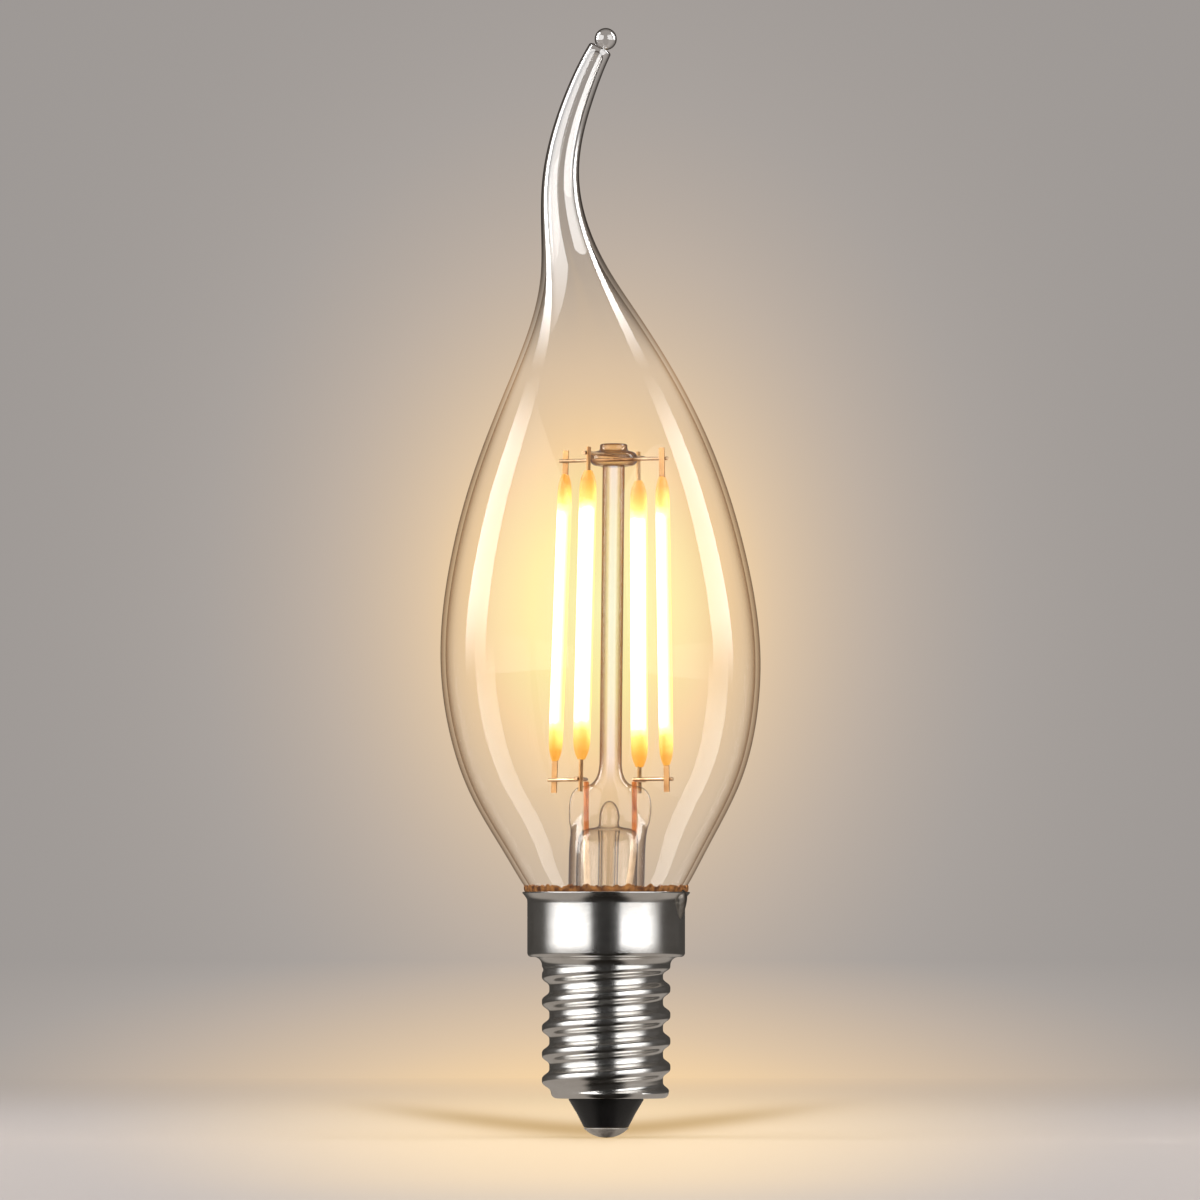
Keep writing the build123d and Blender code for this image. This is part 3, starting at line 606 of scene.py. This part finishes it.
def cap_shell():
    """A closed loop of rings: out over the floor, up the thread, then collar, shoulder, skirt, lip and back
    down the inside. The thread's radius is the mean plus the throw times a flattened cosine of the angle less
    the thread's own turn at that height."""
    angle = turn(192)
    z_lowest = Z_FLOOR + FLOOR_ROUND
    rows = np.linspace(z_lowest, Z_THREAD_END, 190)
    phase = THREAD_START + 2 * pi * (rows - Z_FLOOR) / THREAD_PITCH
    missing = 1 - np.minimum(1, (rows - Z_FLOOR) / THREAD_RUN_IN)
    fading = 1 - np.minimum(1, (Z_THREAD_END - rows) / THREAD_RUN_OUT)
    runout = fading**2 * (3 - 2 * fading)
    reach = THREAD_THROW * (1 - runout)
    base = THREAD_MEAN_R + THREAD_THROW * (runout - missing**2)
    wave = np.cos(angle[None, :] - phase[:, None])
    narrow = 2 * ((1 + wave) / 2) ** 1.15 - 1
    rolled = 1.5 * narrow - 0.5 * narrow**3
    thread = base[:, None] + reach[:, None] * rolled
    bend = np.linspace(0, 1, 7)[:-1] * pi / 2
    floor_r = thread[0][None, :] - FLOOR_ROUND * (1 - np.sin(bend))[:, None]
    floor_z = Z_FLOOR + FLOOR_ROUND * (1 - np.cos(bend))
    inner_round, outer_round = 0.9, 0.442
    outside = np.concatenate([
        arc((COLLAR_R + inner_round, Z_SKIRT - inner_round), inner_round, 178, 90, 12),
        arc((SKIRT_R - outer_round, Z_SKIRT + outer_round), outer_round, -90, 0, 10),
        [(SKIRT_R, Z_SKIRT + 1.5), (SKIRT_R, Z_SKIRT + 3.5), (SKIRT_R, Z_LIP - 0.4)],
        [(SKIRT_R + 0.02, Z_LIP), (SKIRT_R + 0.2, Z_LIP + 0.3), (SKIRT_R + LIP_FLARE - 0.02, Z_RIM - 0.03)],
        arc((SKIRT_R + LIP_FLARE - 0.07, Z_RIM + 0.06), 0.1, -35, 140, 7),
    ])
    inside = np.array([
        (SKIRT_R - 0.06, Z_LIP + 0.25),
        (SKIRT_R - SHEET, Z_LIP - 0.1),
        (SKIRT_R - SHEET, Z_SKIRT + SHEET),
        (COLLAR_R - SHEET, Z_SKIRT),
        (COLLAR_R - SHEET, Z_THREAD_END),
        (BORE_R, Z_THREAD_END),
        (BORE_R, Z_FLOOR + SHEET),
        (FLOOR_HOLE_R, Z_FLOOR + SHEET),
        (FLOOR_HOLE_R, Z_FLOOR),
    ])
    around = np.ones((1, len(angle)))
    radius = np.vstack([floor_r, thread, outside[:, :1] * around, inside[:, :1] * around])
    height = np.concatenate([floor_z, rows, outside[:, 1], inside[:, 1]])
    return skin(level_rings(radius, height, angle), loop=True)


piece("cap_shell_rolled", cap_shell(), "cap_nickel", ["cap_shell"], crease=50.0)


def insulator():
    """A turned cone with softened edges, its neck through the shell's floor and the flange inside."""
    top = Z_FLOOR - 0.02
    flange = Z_FLOOR + SHEET + 0.02
    return revolved([
        (0.02, Z_CONTACT), (1.6, Z_CONTACT), (2.3, Z_CONTACT),
        *arc((2.33, Z_CONTACT + 0.12), 0.12, -90, -30, 5),
        (3.2, Z_CONTACT + 1.55),
        *arc((3.93, top - 0.12), 0.12, -30, 90, 6),
        (3.5, top), (3.5, flange), (5.045, flange), (5.045, flange + 1.2), (1.02, flange + 1.2),
        (0.02, flange + 1.2),
    ])


def centre_contact():
    """A pressed contact: a dome with a small worn flat, a rolled edge and the rivet's shank."""
    dome_r = (2.4**2 + 1.0**2) / 2
    angle = np.linspace(0.2, np.arcsin(2.34 / dome_r), 22)
    dome = np.stack([dome_r * np.sin(angle), dome_r * (1 - np.cos(angle)) * 1.02 - 0.02], -1)
    return revolved([
        (0.05, 0.0), *dome[dome[:, 1] > 0.01],
        *arc((2.33, 0.99), 0.09, -25, 90, 6),
        (1.0, 1.09), (1.0, Z_FLOOR + 1.8), (0.02, Z_FLOOR + 1.8),
    ])


piece("insulator_moulded", insulator(), "insulator_black", ["insulator"])
piece("centre_contact_pressed", centre_contact(), "contact_nickel", ["centre_contact"])


# Cement


def wander(angle, seed, low, high):
    """A wavy line round the turn: a sum of sines with seeded phases and falling strength."""
    draw = np.random.default_rng(seed)
    waves = np.arange(low, high)
    phase = draw.uniform(0, 2 * pi, len(waves))
    size = draw.uniform(0.3, 1.0, len(waves)) / np.sqrt(waves / low)
    total = (size[:, None] * np.sin(waves[:, None] * angle[None, :] + phase[:, None])).sum(0)
    return total / np.abs(total).max()


def cement():
    """A ring squeezed out over the rim: a closed loop of rings whose crest is ragged round the turn."""
    angle = turn(480)
    even = np.zeros_like(angle)
    neck = Z_RIM - 3.0
    lumps, crumbs, edge = wander(angle, 3, 9, 60), wander(angle, 5, 40, 150), wander(angle, 8, 14, 90)
    crest = 0.8 + 0.24 * lumps + 0.16 * crumbs
    out = 8.8 + 0.06 * edge + 0.04 * crumbs
    rows = [
        (7.2 + even, neck + even),
        (8.1 + even, neck + even),
        (8.12 + even, Z_LIP + even),
        (8.6 + even, Z_RIM - 0.05 + even),
        (out, Z_RIM + 0.1 + 0.15 * crest),
        (out + 0.06, Z_RIM + 0.6 * crest),
        (out + 0.04, Z_RIM + crest),
        (out - 0.08, Z_RIM + 0.95 * crest),
        (8.5 + even, Z_RIM + 0.3 * crest),
        (7.9 + even, Z_RIM - 0.3 + even),
    ]
    radius, height = (np.stack(v) for v in zip(*rows))
    return skin(level_rings(radius, height, angle), loop=True)


piece("basing_cement_ragged", cement(), "cement", ["basing_cement"], crease=60.0)


# Stem and rod


def stem_and_rod():
    """One glass body: the flared tube, the press with a drop of glass on each side, and the rod.
    A ring's reach is the larger, smoothly, of the press's ellipse and the two drops. It starts at the top of
    the port's dome, runs down the hollow tube to the foot, and back up the outside to the rod's end."""
    angle = turn(144)
    z_press = Z_NECK + 10.8

    def reach(half_width, half_depth, drop):
        """Ellipse and drops as one outline in polar form, by a high power mean."""
        ellipse = half_width * half_depth / np.hypot(half_depth * np.cos(angle), half_width * np.sin(angle))
        bulge = drop * np.exp(-((np.sin(angle) / 0.34) ** 2))
        return (ellipse**10 + bulge**10) ** 0.1

    heights = [-0.05, 2.2, 6.0, 9.6, 10.8, 11.8, 12.8, 13.8, 14.6, 15.4, 16.1, 16.7, 17.15, 17.6, 18.3, 19.2]
    widths = [5.5, 4.15, 4.12, 4.12, 4.12, 4.1, 3.9, 3.5, 3.2, 2.95, 2.7, 2.35, 1.9, 1.55, 1.3, 1.2]
    depths = [5.5, 4.15, 4.12, 4.1, 3.85, 3.1, 2.35, 1.95, 1.75, 1.65, 1.6, 1.55, 1.45, 1.35, 1.25, 1.2]
    drops = [0.5, 0.5, 0.5, 0.5, 1.0, 3.4, 4.2, 4.4, 4.42, 4.35, 4.1, 3.5, 1.0, 0.5, 0.5, 0.5]
    drift = [0, 0, 0.02, 0.1, 0.17, 0.28, 0.36, 0.42, 0.45, 0.45, 0.45, 0.45, 0.45, 0.45, 0.45, 0.46]
    rod_rise = [21, 25, 30, 36, 42, 48, 51.35]
    rise = np.concatenate([np.linspace(0, 9.6, 40), np.linspace(9.7, 19.2, 90), rod_rise])
    kernel = np.array([1, 2, 3, 2, 1]) / 9
    smooth = [np.interp(rise, heights, v) for v in (widths, depths, drops, drift)]
    smooth = [np.convolve(np.pad(v, 2, mode="edge"), kernel, mode="valid") for v in smooth]
    half_width, half_depth, drop, middle = smooth
    middle = middle + np.maximum(rise - 17.2, 0) * tan(ROD_LEAN)
    outer = np.stack([reach(*row) for row in zip(half_width, half_depth, drop)])

    ceiling = z_press + 1.5
    port = np.linspace(0.08, 1, 9) * pi / 2
    hollow_z = np.array([
        ceiling + 0.5, ceiling + 0.15, ceiling, ceiling - 0.1, ceiling - 0.35, ceiling - 0.9,
        z_press - 0.8, z_press - 3.0, Z_NECK + 5.0, Z_NECK + 2.2, Z_NECK + 1.0, Z_NECK + 0.2,
    ])
    hollow_width = [1.05, 1.15, 1.6, 2.3, 2.9, 3.2, 3.3, 3.32, 3.32, 3.35, 3.7, 4.6]
    hollow_depth = [1.05, 1.15, 1.35, 1.5, 1.8, 2.3, 3.1, 3.3, 3.32, 3.35, 3.7, 4.6]
    hollow = np.stack([reach(wide, deep, 0.2) for wide, deep in zip(hollow_width, hollow_depth)])
    dome = 1.1 * np.sin(port)[:, None] * np.ones(len(angle))
    drifted = np.interp(hollow_z, [Z_NECK, z_press - 2, ceiling], [0.0, 0.05, 0.3])
    rings = level_rings(
        np.vstack([dome, hollow, outer]),
        np.concatenate([ceiling + 1.0 + 1.9 * np.cos(port), hollow_z, Z_NECK + rise]),
        angle,
        np.concatenate([np.full(len(port), 0.36), drifted, middle]),
    )
    return skin(rings)


piece("stem_and_rod", stem_and_rod(), "stem_glass", ["stem", "support_rod"], crease=60.0)


def exhaust_tube():
    """A glass tube with a drawn and sealed lower end, from under the press into the cap."""
    low = Z_NECK - 1.9
    high = Z_NECK + 12.0
    seal = np.linspace(0.1, 1, 6) * pi / 2
    profile = [
        *zip(0.75 * np.sin(seal), low + 1.6 - 0.6 * np.cos(seal)),
        (0.78, low + 3), (0.8, high - 1), (0.85, high),
        (1.2, high), (1.1, high - 1.2), (1.08, low + 4), (1.1, low + 1.4),
        *zip(1.1 * np.cos(seal[:-1]), low + 1.2 - 1.2 * np.sin(seal[:-1])),
    ]
    radius, height = np.array(profile[::-1]).T
    middle = np.interp(height, [low, high], [0.0, 0.3])
    return skin(level_rings(radius, height, turn(64), middle))


piece("exhaust_tube_drawn", exhaust_tube(), "stem_glass", ["exhaust_tube"])


def support_bead():
    """A pressed bead: round edge, a raised ring and a hollow under it, and the melted button on top."""
    low = Z_BEAD
    profile = np.array([
        (0.03, low + 0.2), (0.7, low + 0.2), (1.15, low + 0.1), (1.45, low - 0.02), (1.75, low + 0.06),
        *arc((1.78, low + 0.86), 0.8, -80, 80, 17),
        (1.62, low + 1.72), (1.5, low + 1.85),
        *arc((1.22, low + 2.2), 0.26, -20, 90, 8),
        (0.8, low + 2.5), (0.03, low + 2.52),
    ])
    angle = turn(96)
    radius = profile[:, :1] * (1 + 0.02 * wander(angle, 11, 2, 7))[None, :]
    middle = STEM_X + (low + 1 - Z_ROD) * tan(ROD_LEAN)
    return skin(level_rings(radius, profile[:, 1], angle, np.full(len(profile), middle)))


piece("support_bead_pressed", support_bead(), "bead_glass", ["support_bead"])


def tube(points, radius, steps=20):
    """A round bar along a line in the front plane: rings across it, square to the line."""
    along = np.gradient(points, axis=0)
    along /= np.linalg.norm(along, axis=1)[:, None]
    across = np.stack([along[:, 2], 0 * along[:, 0], -along[:, 0]], -1)
    angle = turn(steps)
    side = across[:, None, :] * np.cos(angle)[None, :, None]
    deep = np.array([0.0, 1.0, 0.0])[None, None, :] * np.sin(angle)[None, :, None]
    return skin(points[:, None, :] + radius[:, None, None] * (side + deep))


def lead(side):
    """A lead from the cap through the press: straight, then a soft bend outwards, thinner in the press."""
    height = np.linspace(Z_NECK - 4.6, Z_ROD + 0.08, 90)
    way = np.clip((height - Z_NECK - 1.0) / 10.5, 0, 1)
    way = way * way * (3 - 2 * way)
    x = side * 1.9 + way * (STEM_X + side * 0.7)
    radius = np.interp(height, [Z_NECK + 10.0, Z_NECK + 11.4], [0.36, 0.28])
    return tube(np.stack([x, 0 * x, height], -1), radius)


piece("left_lead_drawn", lead(-1), "sealing_wire", ["left_lead_wire"])
piece("right_lead_drawn", lead(1), "sealing_wire", ["right_lead_wire"])


# Filaments

RING_TURN = 29.0
RING_FOOT_R = 7.1
RING_TOP_R = 6.1
Z_FOOT_WIRE = Z_ROD + 0.3
FOOT_GAP = 1.45
LEFT_LIFT = 0.6
COAT_LENGTH = 31.2
HEAD_GAP = 1.6
Z_TOP_WIRE = Z_FOOT_WIRE + FOOT_GAP + LEFT_LIFT + COAT_LENGTH + HEAD_GAP
TAB_OFFSET = 0.3
COAT_HALF_WIDTH = 0.68
COAT_HALF_DEPTH = 0.98
COAT_SWELL = 2.6


def coating(degrees, side, lift):
    """A coated strip: rings across a straight line, each an ellipse that swells from a narrow end as a
    rounded bullet does; the value kept on each point is its distance from the nearer end."""
    outwards = np.array([cos(radians(degrees)), sin(radians(degrees)), 0])
    across = np.array([-outwards[1], outwards[0], 0]) * side * TAB_OFFSET
    top_x = STEM_X + (Z_TOP_WIRE - Z_ROD) * tan(ROD_LEAN)
    foot = np.array([STEM_X, 0, Z_FOOT_WIRE]) + outwards * RING_FOOT_R + across
    head = np.array([top_x, 0, Z_TOP_WIRE]) + outwards * RING_TOP_R + across
    up = (head - foot) / np.linalg.norm(head - foot)
    wide = outwards - up * (outwards @ up)
    wide /= np.linalg.norm(wide)
    deep = np.cross(up, wide)
    end = np.concatenate([
        [0.0, 0.04, 0.1, 0.18, 0.3, 0.45, 0.62, 0.82, 1.05, 1.3, 1.6, 1.95],
        np.arange(2.4, 15.6, 0.6),
    ])
    way = np.concatenate([end, COAT_LENGTH - end[::-1]])
    near = np.minimum(way, COAT_LENGTH - way)
    share = 0.42 + 0.58 * (1 - (1 - np.minimum(near / COAT_SWELL, 1)) ** 2.8)
    share[[0, -1]] = 0.34
    angle = turn(48)
    middle = foot[None, :] + up[None, :] * (FOOT_GAP + lift + way)[:, None]
    flat = COAT_HALF_WIDTH * np.cos(angle)[:, None] * wide
    offset = flat + COAT_HALF_DEPTH * np.sin(angle)[:, None] * deep
    rings = middle[:, None, :] + offset[None, :, :] * share[:, None, None]
    return skin(rings), np.concatenate([np.repeat(near, len(angle)), [0, 0]])


FILAMENTS = {
    "back_left": (180 - RING_TURN, -1, LEFT_LIFT),
    "front_left": (270 - RING_TURN, 1, LEFT_LIFT),
    "front_right": (-RING_TURN, -1, 0.0),
    "back_right": (90 - RING_TURN, 1, 0.0),
}
for place, (degrees, side, lift) in FILAMENTS.items():
    surface, along = coating(degrees, side, lift)
    lit = piece(f"{place}_filament_lit", surface, "phosphor", [f"{place}_filament_coating"], along=along)
    lit.visible_glossy = False


# Every carried-over node and new piece takes the finish of its slot

for row in frame["record"]["subparts"]:
    carried = frame["nodes"][row["node"]]
    carried.data.materials.clear()
    carried.data.materials.append(FINISHES[row["material_slot"]])
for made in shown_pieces():
    if "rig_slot" in made:
        made.data.materials.append(FINISHES[made["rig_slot"]])

# The tail's thick glass mirrors more than the bowl's
TAIL_FROM = 0.083
envelope.data.materials.append(envelope_glass("tail_glass", 2.7, 0.082, 0.100))
middles = np.empty(3 * len(envelope.data.polygons), np.float32)
envelope.data.polygons.foreach_get("center", middles)
envelope.data.polygons.foreach_set("material_index", (middles[2::3] > TAIL_FROM).astype(np.int32))


# Stage: the floor runs far back and sweeps up into the backdrop

FLOOR_NEAR, FLOOR_FAR, BACKDROP_TOP, STAGE_HALF = -2.5, 6.0, 6.0, 6.0
SWEEP_R = 0.5
CAMERA_BACK = 1.1
CAMERA_Z = 0.020
PIXELS_A_MM = 9.245


def stage_sweep():
    """Floor and backdrop in one sheet: level, then a quarter round, then upright."""
    bend = np.linspace(0, pi / 2, 24)
    y = np.concatenate([[FLOOR_NEAR, 0.0, 1.0], FLOOR_FAR - SWEEP_R + SWEEP_R * np.sin(bend), [FLOOR_FAR]])
    z = np.concatenate([[0.0, 0.0, 0.0], SWEEP_R * (1 - np.cos(bend)), [BACKDROP_TOP]])
    x = np.array([-STAGE_HALF, STAGE_HALF])
    points = np.stack(np.broadcast_arrays(x[None, :], y[:, None], z[:, None]), -1).reshape(-1, 3)
    rows = np.arange(len(y) - 1) * 2
    faces = np.stack([rows, rows + 1, rows + 3, rows + 2], -1)
    mesh = bpy.data.meshes.new("stage_sweep")
    mesh.from_pydata(points.tolist(), [], faces.tolist())
    mesh.shade_smooth()
    made = bpy.data.objects.new("stage_sweep", mesh)
    bpy.context.scene.collection.objects.link(made)
    return made


def tone(red, green, blue):
    """A display colour, 0 to 255, as the linear colour that a shader takes."""
    value = np.array([red, green, blue]) / 255
    linear = np.where(value <= 0.04045, value / 12.92, ((value + 0.055) / 1.055) ** 2.4)
    return (*linear.tolist(), 1)


# Painted glow: tones of the warm halo on the backdrop and floor, from its edge to its middle
HALO = [
    (0.0, tone(157, 152, 149)),
    (0.05, tone(169, 162, 157)),
    (0.125, tone(190, 176, 163)),
    (0.27, tone(222, 197, 167)),
    (0.4, tone(250, 215, 166)),
    (0.6, tone(255, 240, 168)),
    (1.0, tone(255, 250, 185)),
]
FLOOR_TONE = tone(203, 193, 187)[:3]
HALO_Z = 0.0575
HALO_LENGTH = 0.01445
HALO_FLATTEN = 0.77
# Sizes of the painted glow's spill onto the floor, the painted pool of light and the painted shadow arc
SPILL_WIDTH = 0.052
POOL_BELOW = 0.0195
POOL_FLATTEN = 4.2
SHADE_BELOW = 0.0192
SHADE_BEND = 0.78
SHADE_DEPTH = 0.00095
SHADE_WIDTH = 0.03


def stage_finish_and_painted_light():
    """Pale floor that takes light and shadow near the bulb, with a painted warm pool of light and the cap's
    soft shade painted as an arc. Further off it is plain. Behind the bulb, floor and backdrop carry a painted
    warm halo
    of glow: the exponential of distance over a fixed length. Distances are as seen from in front, at the
    bulb's depth. Polished metal mirrors other tones, as painted reflections: dark in a wedge to the front,
    pale near the cap and dim at the sides and behind."""
    # The emission colour is the warm tone of the painted pool of light
    made = Finish("stage_finish_and_painted_light", Roughness=0.8, Emission_Color=(0.385, 0.228, 0.01, 1))
    place = made.add("ShaderNodeTexCoord")
    parts = made.add("ShaderNodeSeparateXYZ")
    made.link(place.outputs["Object"], parts.inputs[0])
    math = made.math
    depth = math("MAXIMUM", math("DIVIDE", math("ADD", parts.outputs["Y"], CAMERA_BACK), CAMERA_BACK), 0.2)
    across = math("DIVIDE", math("ADD", parts.outputs["X"], 0.001), depth)
    above = math("DIVIDE", math("SUBTRACT", parts.outputs["Z"], CAMERA_Z), depth)
    below = math("MAXIMUM", math("MULTIPLY", above, -1), 0.0)
    aside = math("MULTIPLY", across, across)
    raised = math("MULTIPLY", math("ADD", above, CAMERA_Z - HALO_Z), HALO_FLATTEN)
    away = math("SQRT", math("ADD", aside, math("MULTIPLY", raised, raised)))
    halo = math("EXPONENT", math("MULTIPLY", away, -1 / HALO_LENGTH))
    # Painted glow spilling onto the floor below the halo
    spill = math("EXPONENT", math("MULTIPLY", aside, -1 / SPILL_WIDTH**2))
    spill = math("MULTIPLY", spill, made.spread(below, 0.0008, 0.0159, 0.0, 0.37))
    # Painted pool of light: distance from its middle on the floor
    reach = math("MULTIPLY", math("SUBTRACT", below, POOL_BELOW), POOL_FLATTEN)
    reach = math("SQRT", math("ADD", aside, math("MULTIPLY", reach, reach)))
    # Painted shadow: the cap's soft shade as an arc behind the base
    bend = math("MULTIPLY", math("POWER", math("ABSOLUTE", across), 1.5), SHADE_BEND)
    off_arc = math("DIVIDE", math("SUBTRACT", below, math("SUBTRACT", SHADE_BELOW, bend)), SHADE_DEPTH)
    shade = math("ADD", math("MULTIPLY", off_arc, off_arc), math("MULTIPLY", aside, 1 / SHADE_WIDTH**2))
    round_about = math("SQRT", math("ADD", *(math("POWER", parts.outputs[axis], 2.0) for axis in "XY")))
    shade = math("EXPONENT", math("MULTIPLY", shade, -1.0))
    shade = math("MULTIPLY", shade, made.spread(round_about, 0.35, 0.12, smooth=True))
    # Painted shadow: the base colour darkens along the arc
    made.feed(made.blend(shade, (0.41, 0.37, 0.352), (0.21, 0.155, 0.125)), "Base Color")
    path = made.add("ShaderNodeLightPath")
    through = path.outputs["Is Transmission Ray"]
    seen = math("MAXIMUM", path.outputs["Is Camera Ray"], through)
    # Painted pool of light, as glow on the floor, seen directly and through glass
    pool = made.spread(reach, 0.062, 0.008, smooth=True)
    pool = math("MULTIPLY", pool, made.spread(shade, 0.0, 1.0, 1.0, 0.8))
    pool = math("MULTIPLY", pool, made.spread(round_about, 0.5, 0.18, smooth=True))
    made.feed(math("MULTIPLY", pool, seen), "Emission Strength")
    plain = made.spread(round_about, 0.3, 0.55, smooth=True)
    far = made.spread(parts.outputs["Y"], 0.05, 0.6, smooth=True)
    painted = made.add("ShaderNodeEmission")
    # Painted halo of glow behind the bulb, seen directly and through glass
    halo_tone = made.ramp(math("ADD", halo, spill), HALO)
    ahead = made.spread(parts.outputs["Y"], -0.1, 0.05, smooth=True)
    made.link(made.blend(ahead, FLOOR_TONE, halo_tone), painted.inputs["Color"])
    # Painted reflections: the tones that polished metal mirrors of the stage
    mirrored = made.add("ShaderNodeEmission")
    under = made.spread(round_about, 0.1, 0.045, smooth=True)
    turned = math("ARCTAN2", parts.outputs["X"], math("MULTIPLY", parts.outputs["Y"], -1.0))
    gap = made.spread(math("ABSOLUTE", turned), 0.75, 0.45, smooth=True)
    beyond = made.spread(math("ABSOLUTE", turned), 1.15, 1.75, smooth=True)
    aside_tone = made.blend(beyond, (0.25, 0.232, 0.218), (0.06, 0.055, 0.05))
    near_tone = made.blend(under, aside_tone, (0.34, 0.31, 0.28))
    made.link(made.blend(gap, near_tone, (0.014, 0.012, 0.01)), mirrored.inputs["Color"])
    kept = made.add("ShaderNodeMixShader")
    made.link(math("MULTIPLY", path.outputs["Is Glossy Ray"], math("SUBTRACT", 1.0, through)), kept.inputs[0])
    made.link(made.shader.outputs[0], kept.inputs[1])
    made.link(mirrored.outputs[0], kept.inputs[2])
    made.mixed(math("MULTIPLY", seen, math("MAXIMUM", far, plain)), kept.outputs[0], painted.outputs[0])
    return made.material


stage = stage_sweep()
stage.data.materials.append(stage_finish_and_painted_light())


# Light


def panel(name, outer_azimuth, inner_azimuth, distance, height, radiance, axis, start, full):
    """An upright soft panel on the floor that faces the bulb, between two azimuths in degrees to the right of
    the camera. Its light grows smoothly between two shares of its width, X, or of its height, Y."""
    across = radians((outer_azimuth + inner_azimuth) / 2)
    lamp = bpy.data.lights.new(name, "AREA")
    lamp.shape = "RECTANGLE"
    lamp.size = 2 * distance * tan(radians(abs(inner_azimuth - outer_azimuth) / 2))
    lamp.size_y = height
    lamp.energy = radiance * pi * lamp.size * lamp.size_y
    lamp.use_nodes = True
    tree = lamp.node_tree
    place = add_node(tree, "ShaderNodeNewGeometry")
    parts = add_node(tree, "ShaderNodeSeparateXYZ")
    ease = add_node(
        tree, "ShaderNodeMapRange", {"From Min": start, "From Max": full}, interpolation_type="SMOOTHSTEP"
    )
    tree.links.new(place.outputs["Parametric"], parts.inputs[0])
    tree.links.new(parts.outputs[axis], ease.inputs["Value"])
    tree.links.new(ease.outputs["Result"], tree.nodes["Emission"].inputs["Strength"])
    made = bpy.data.objects.new(name, lamp)
    made.location = (distance * sin(across), -distance * cos(across), height / 2)
    facing = Vector((0, 0, height / 2)) - made.location
    made.rotation_euler = facing.to_track_quat("-Z", "Y").to_euler()
    bpy.context.scene.collection.objects.link(made)
    return made


panel("left_panel", -104, -23, 0.75, 0.7, 2.3, "X", 0.0, 0.45)
panel("right_panel", 90, 20, 0.75, 0.7, 2.3, "X", 1.0, 0.5)
strips = (
    panel("left_strip", -113, -90, 0.65, 0.9, 9.5, "Y", 0.0, 0.24),
    panel("right_strip", 110, 88, 0.65, 0.9, 9.0, "Y", 0.0, 0.22),
)

# The strips light the blown glass and the stage alone, without shadows, so the cap keeps its dark edges
strip_lit = bpy.data.collections.new("strip_lit")
strip_lit.objects.link(envelope)
strip_lit.objects.link(stage)
for strip in strips:
    strip.data.use_shadow = False
    strip.light_linking.receiver_collection = strip_lit


def filament_glow():
    """The filaments' own light on the floor, from a small warm lamp between them."""
    lamp = bpy.data.lights.new("filament_glow", "POINT")
    lamp.color = (1.0, 0.62, 0.22)
    lamp.energy = 0.035
    lamp.shadow_soft_size = 0.016
    lamp.use_shadow = False
    made = bpy.data.objects.new("filament_glow", lamp)
    made.location = (STEM_X * MM, 0, 0.052)
    made.visible_transmission = made.visible_glossy = False
    bpy.context.scene.collection.objects.link(made)


def room():
    """Soft fill from all round. What mirrors it sees a room that is dark in front, and dim at the sides and
    behind."""
    world = bpy.data.worlds.new("room")
    world.use_nodes = True
    tree = world.node_tree
    fill = tree.nodes["Background"]
    set_inputs(fill, {"Color": (0.5, 0.48, 0.46, 1), "Strength": 0.9})
    dim = add_node(tree, "ShaderNodeBackground", {"Color": (0.085, 0.079, 0.074, 1)})
    place = add_node(tree, "ShaderNodeTexCoord")
    parts = add_node(tree, "ShaderNodeSeparateXYZ")
    behind = add_node(tree, "ShaderNodeMapRange", {"From Min": -0.45, "From Max": 0.25, "To Min": 0.055})
    path = add_node(tree, "ShaderNodeLightPath")
    mirrored = add_node(tree, "ShaderNodeMath", operation="SUBTRACT", use_clamp=True)
    mix = add_node(tree, "ShaderNodeMixShader")
    for start, end in (
        (place.outputs["Generated"], parts.inputs[0]),
        (parts.outputs["Y"], behind.inputs["Value"]),
        (behind.outputs["Result"], dim.inputs["Strength"]),
        (path.outputs["Is Glossy Ray"], mirrored.inputs[0]),
        (path.outputs["Is Transmission Ray"], mirrored.inputs[1]),
        (mirrored.outputs[0], mix.inputs[0]),
        (fill.outputs[0], mix.inputs[1]),
        (dim.outputs[0], mix.inputs[2]),
        (mix.outputs[0], tree.nodes["World Output"].inputs["Surface"]),
    ):
        tree.links.new(start, end)
    bpy.context.scene.world = world


filament_glow()
room()


# Camera: low and almost level, as in the photograph

FRAME_PIXELS = 1200
AXIS_PIXEL = 606.15
FLOOR_PIXEL = 1137
MIDDLE_PIXEL = FRAME_PIXELS / 2
PIXEL = MM / PIXELS_A_MM
AIM = Vector(((MIDDLE_PIXEL - AXIS_PIXEL) * PIXEL, 0, (FLOOR_PIXEL - MIDDLE_PIXEL) * PIXEL))
camera = bpy.data.objects.new("camera", bpy.data.cameras.new("camera"))
bpy.context.scene.collection.objects.link(camera)
camera.location = (AIM.x, -CAMERA_BACK, CAMERA_Z)
sight = AIM - camera.location
camera.rotation_euler = sight.to_track_quat("-Z", "Y").to_euler()
camera.data.lens = camera.data.sensor_width * sight.length / (FRAME_PIXELS * PIXEL)
camera.data.clip_start, camera.data.clip_end = 0.01, 50
bpy.context.scene.camera = camera

bpy.context.scene.view_settings.view_transform = "Standard"
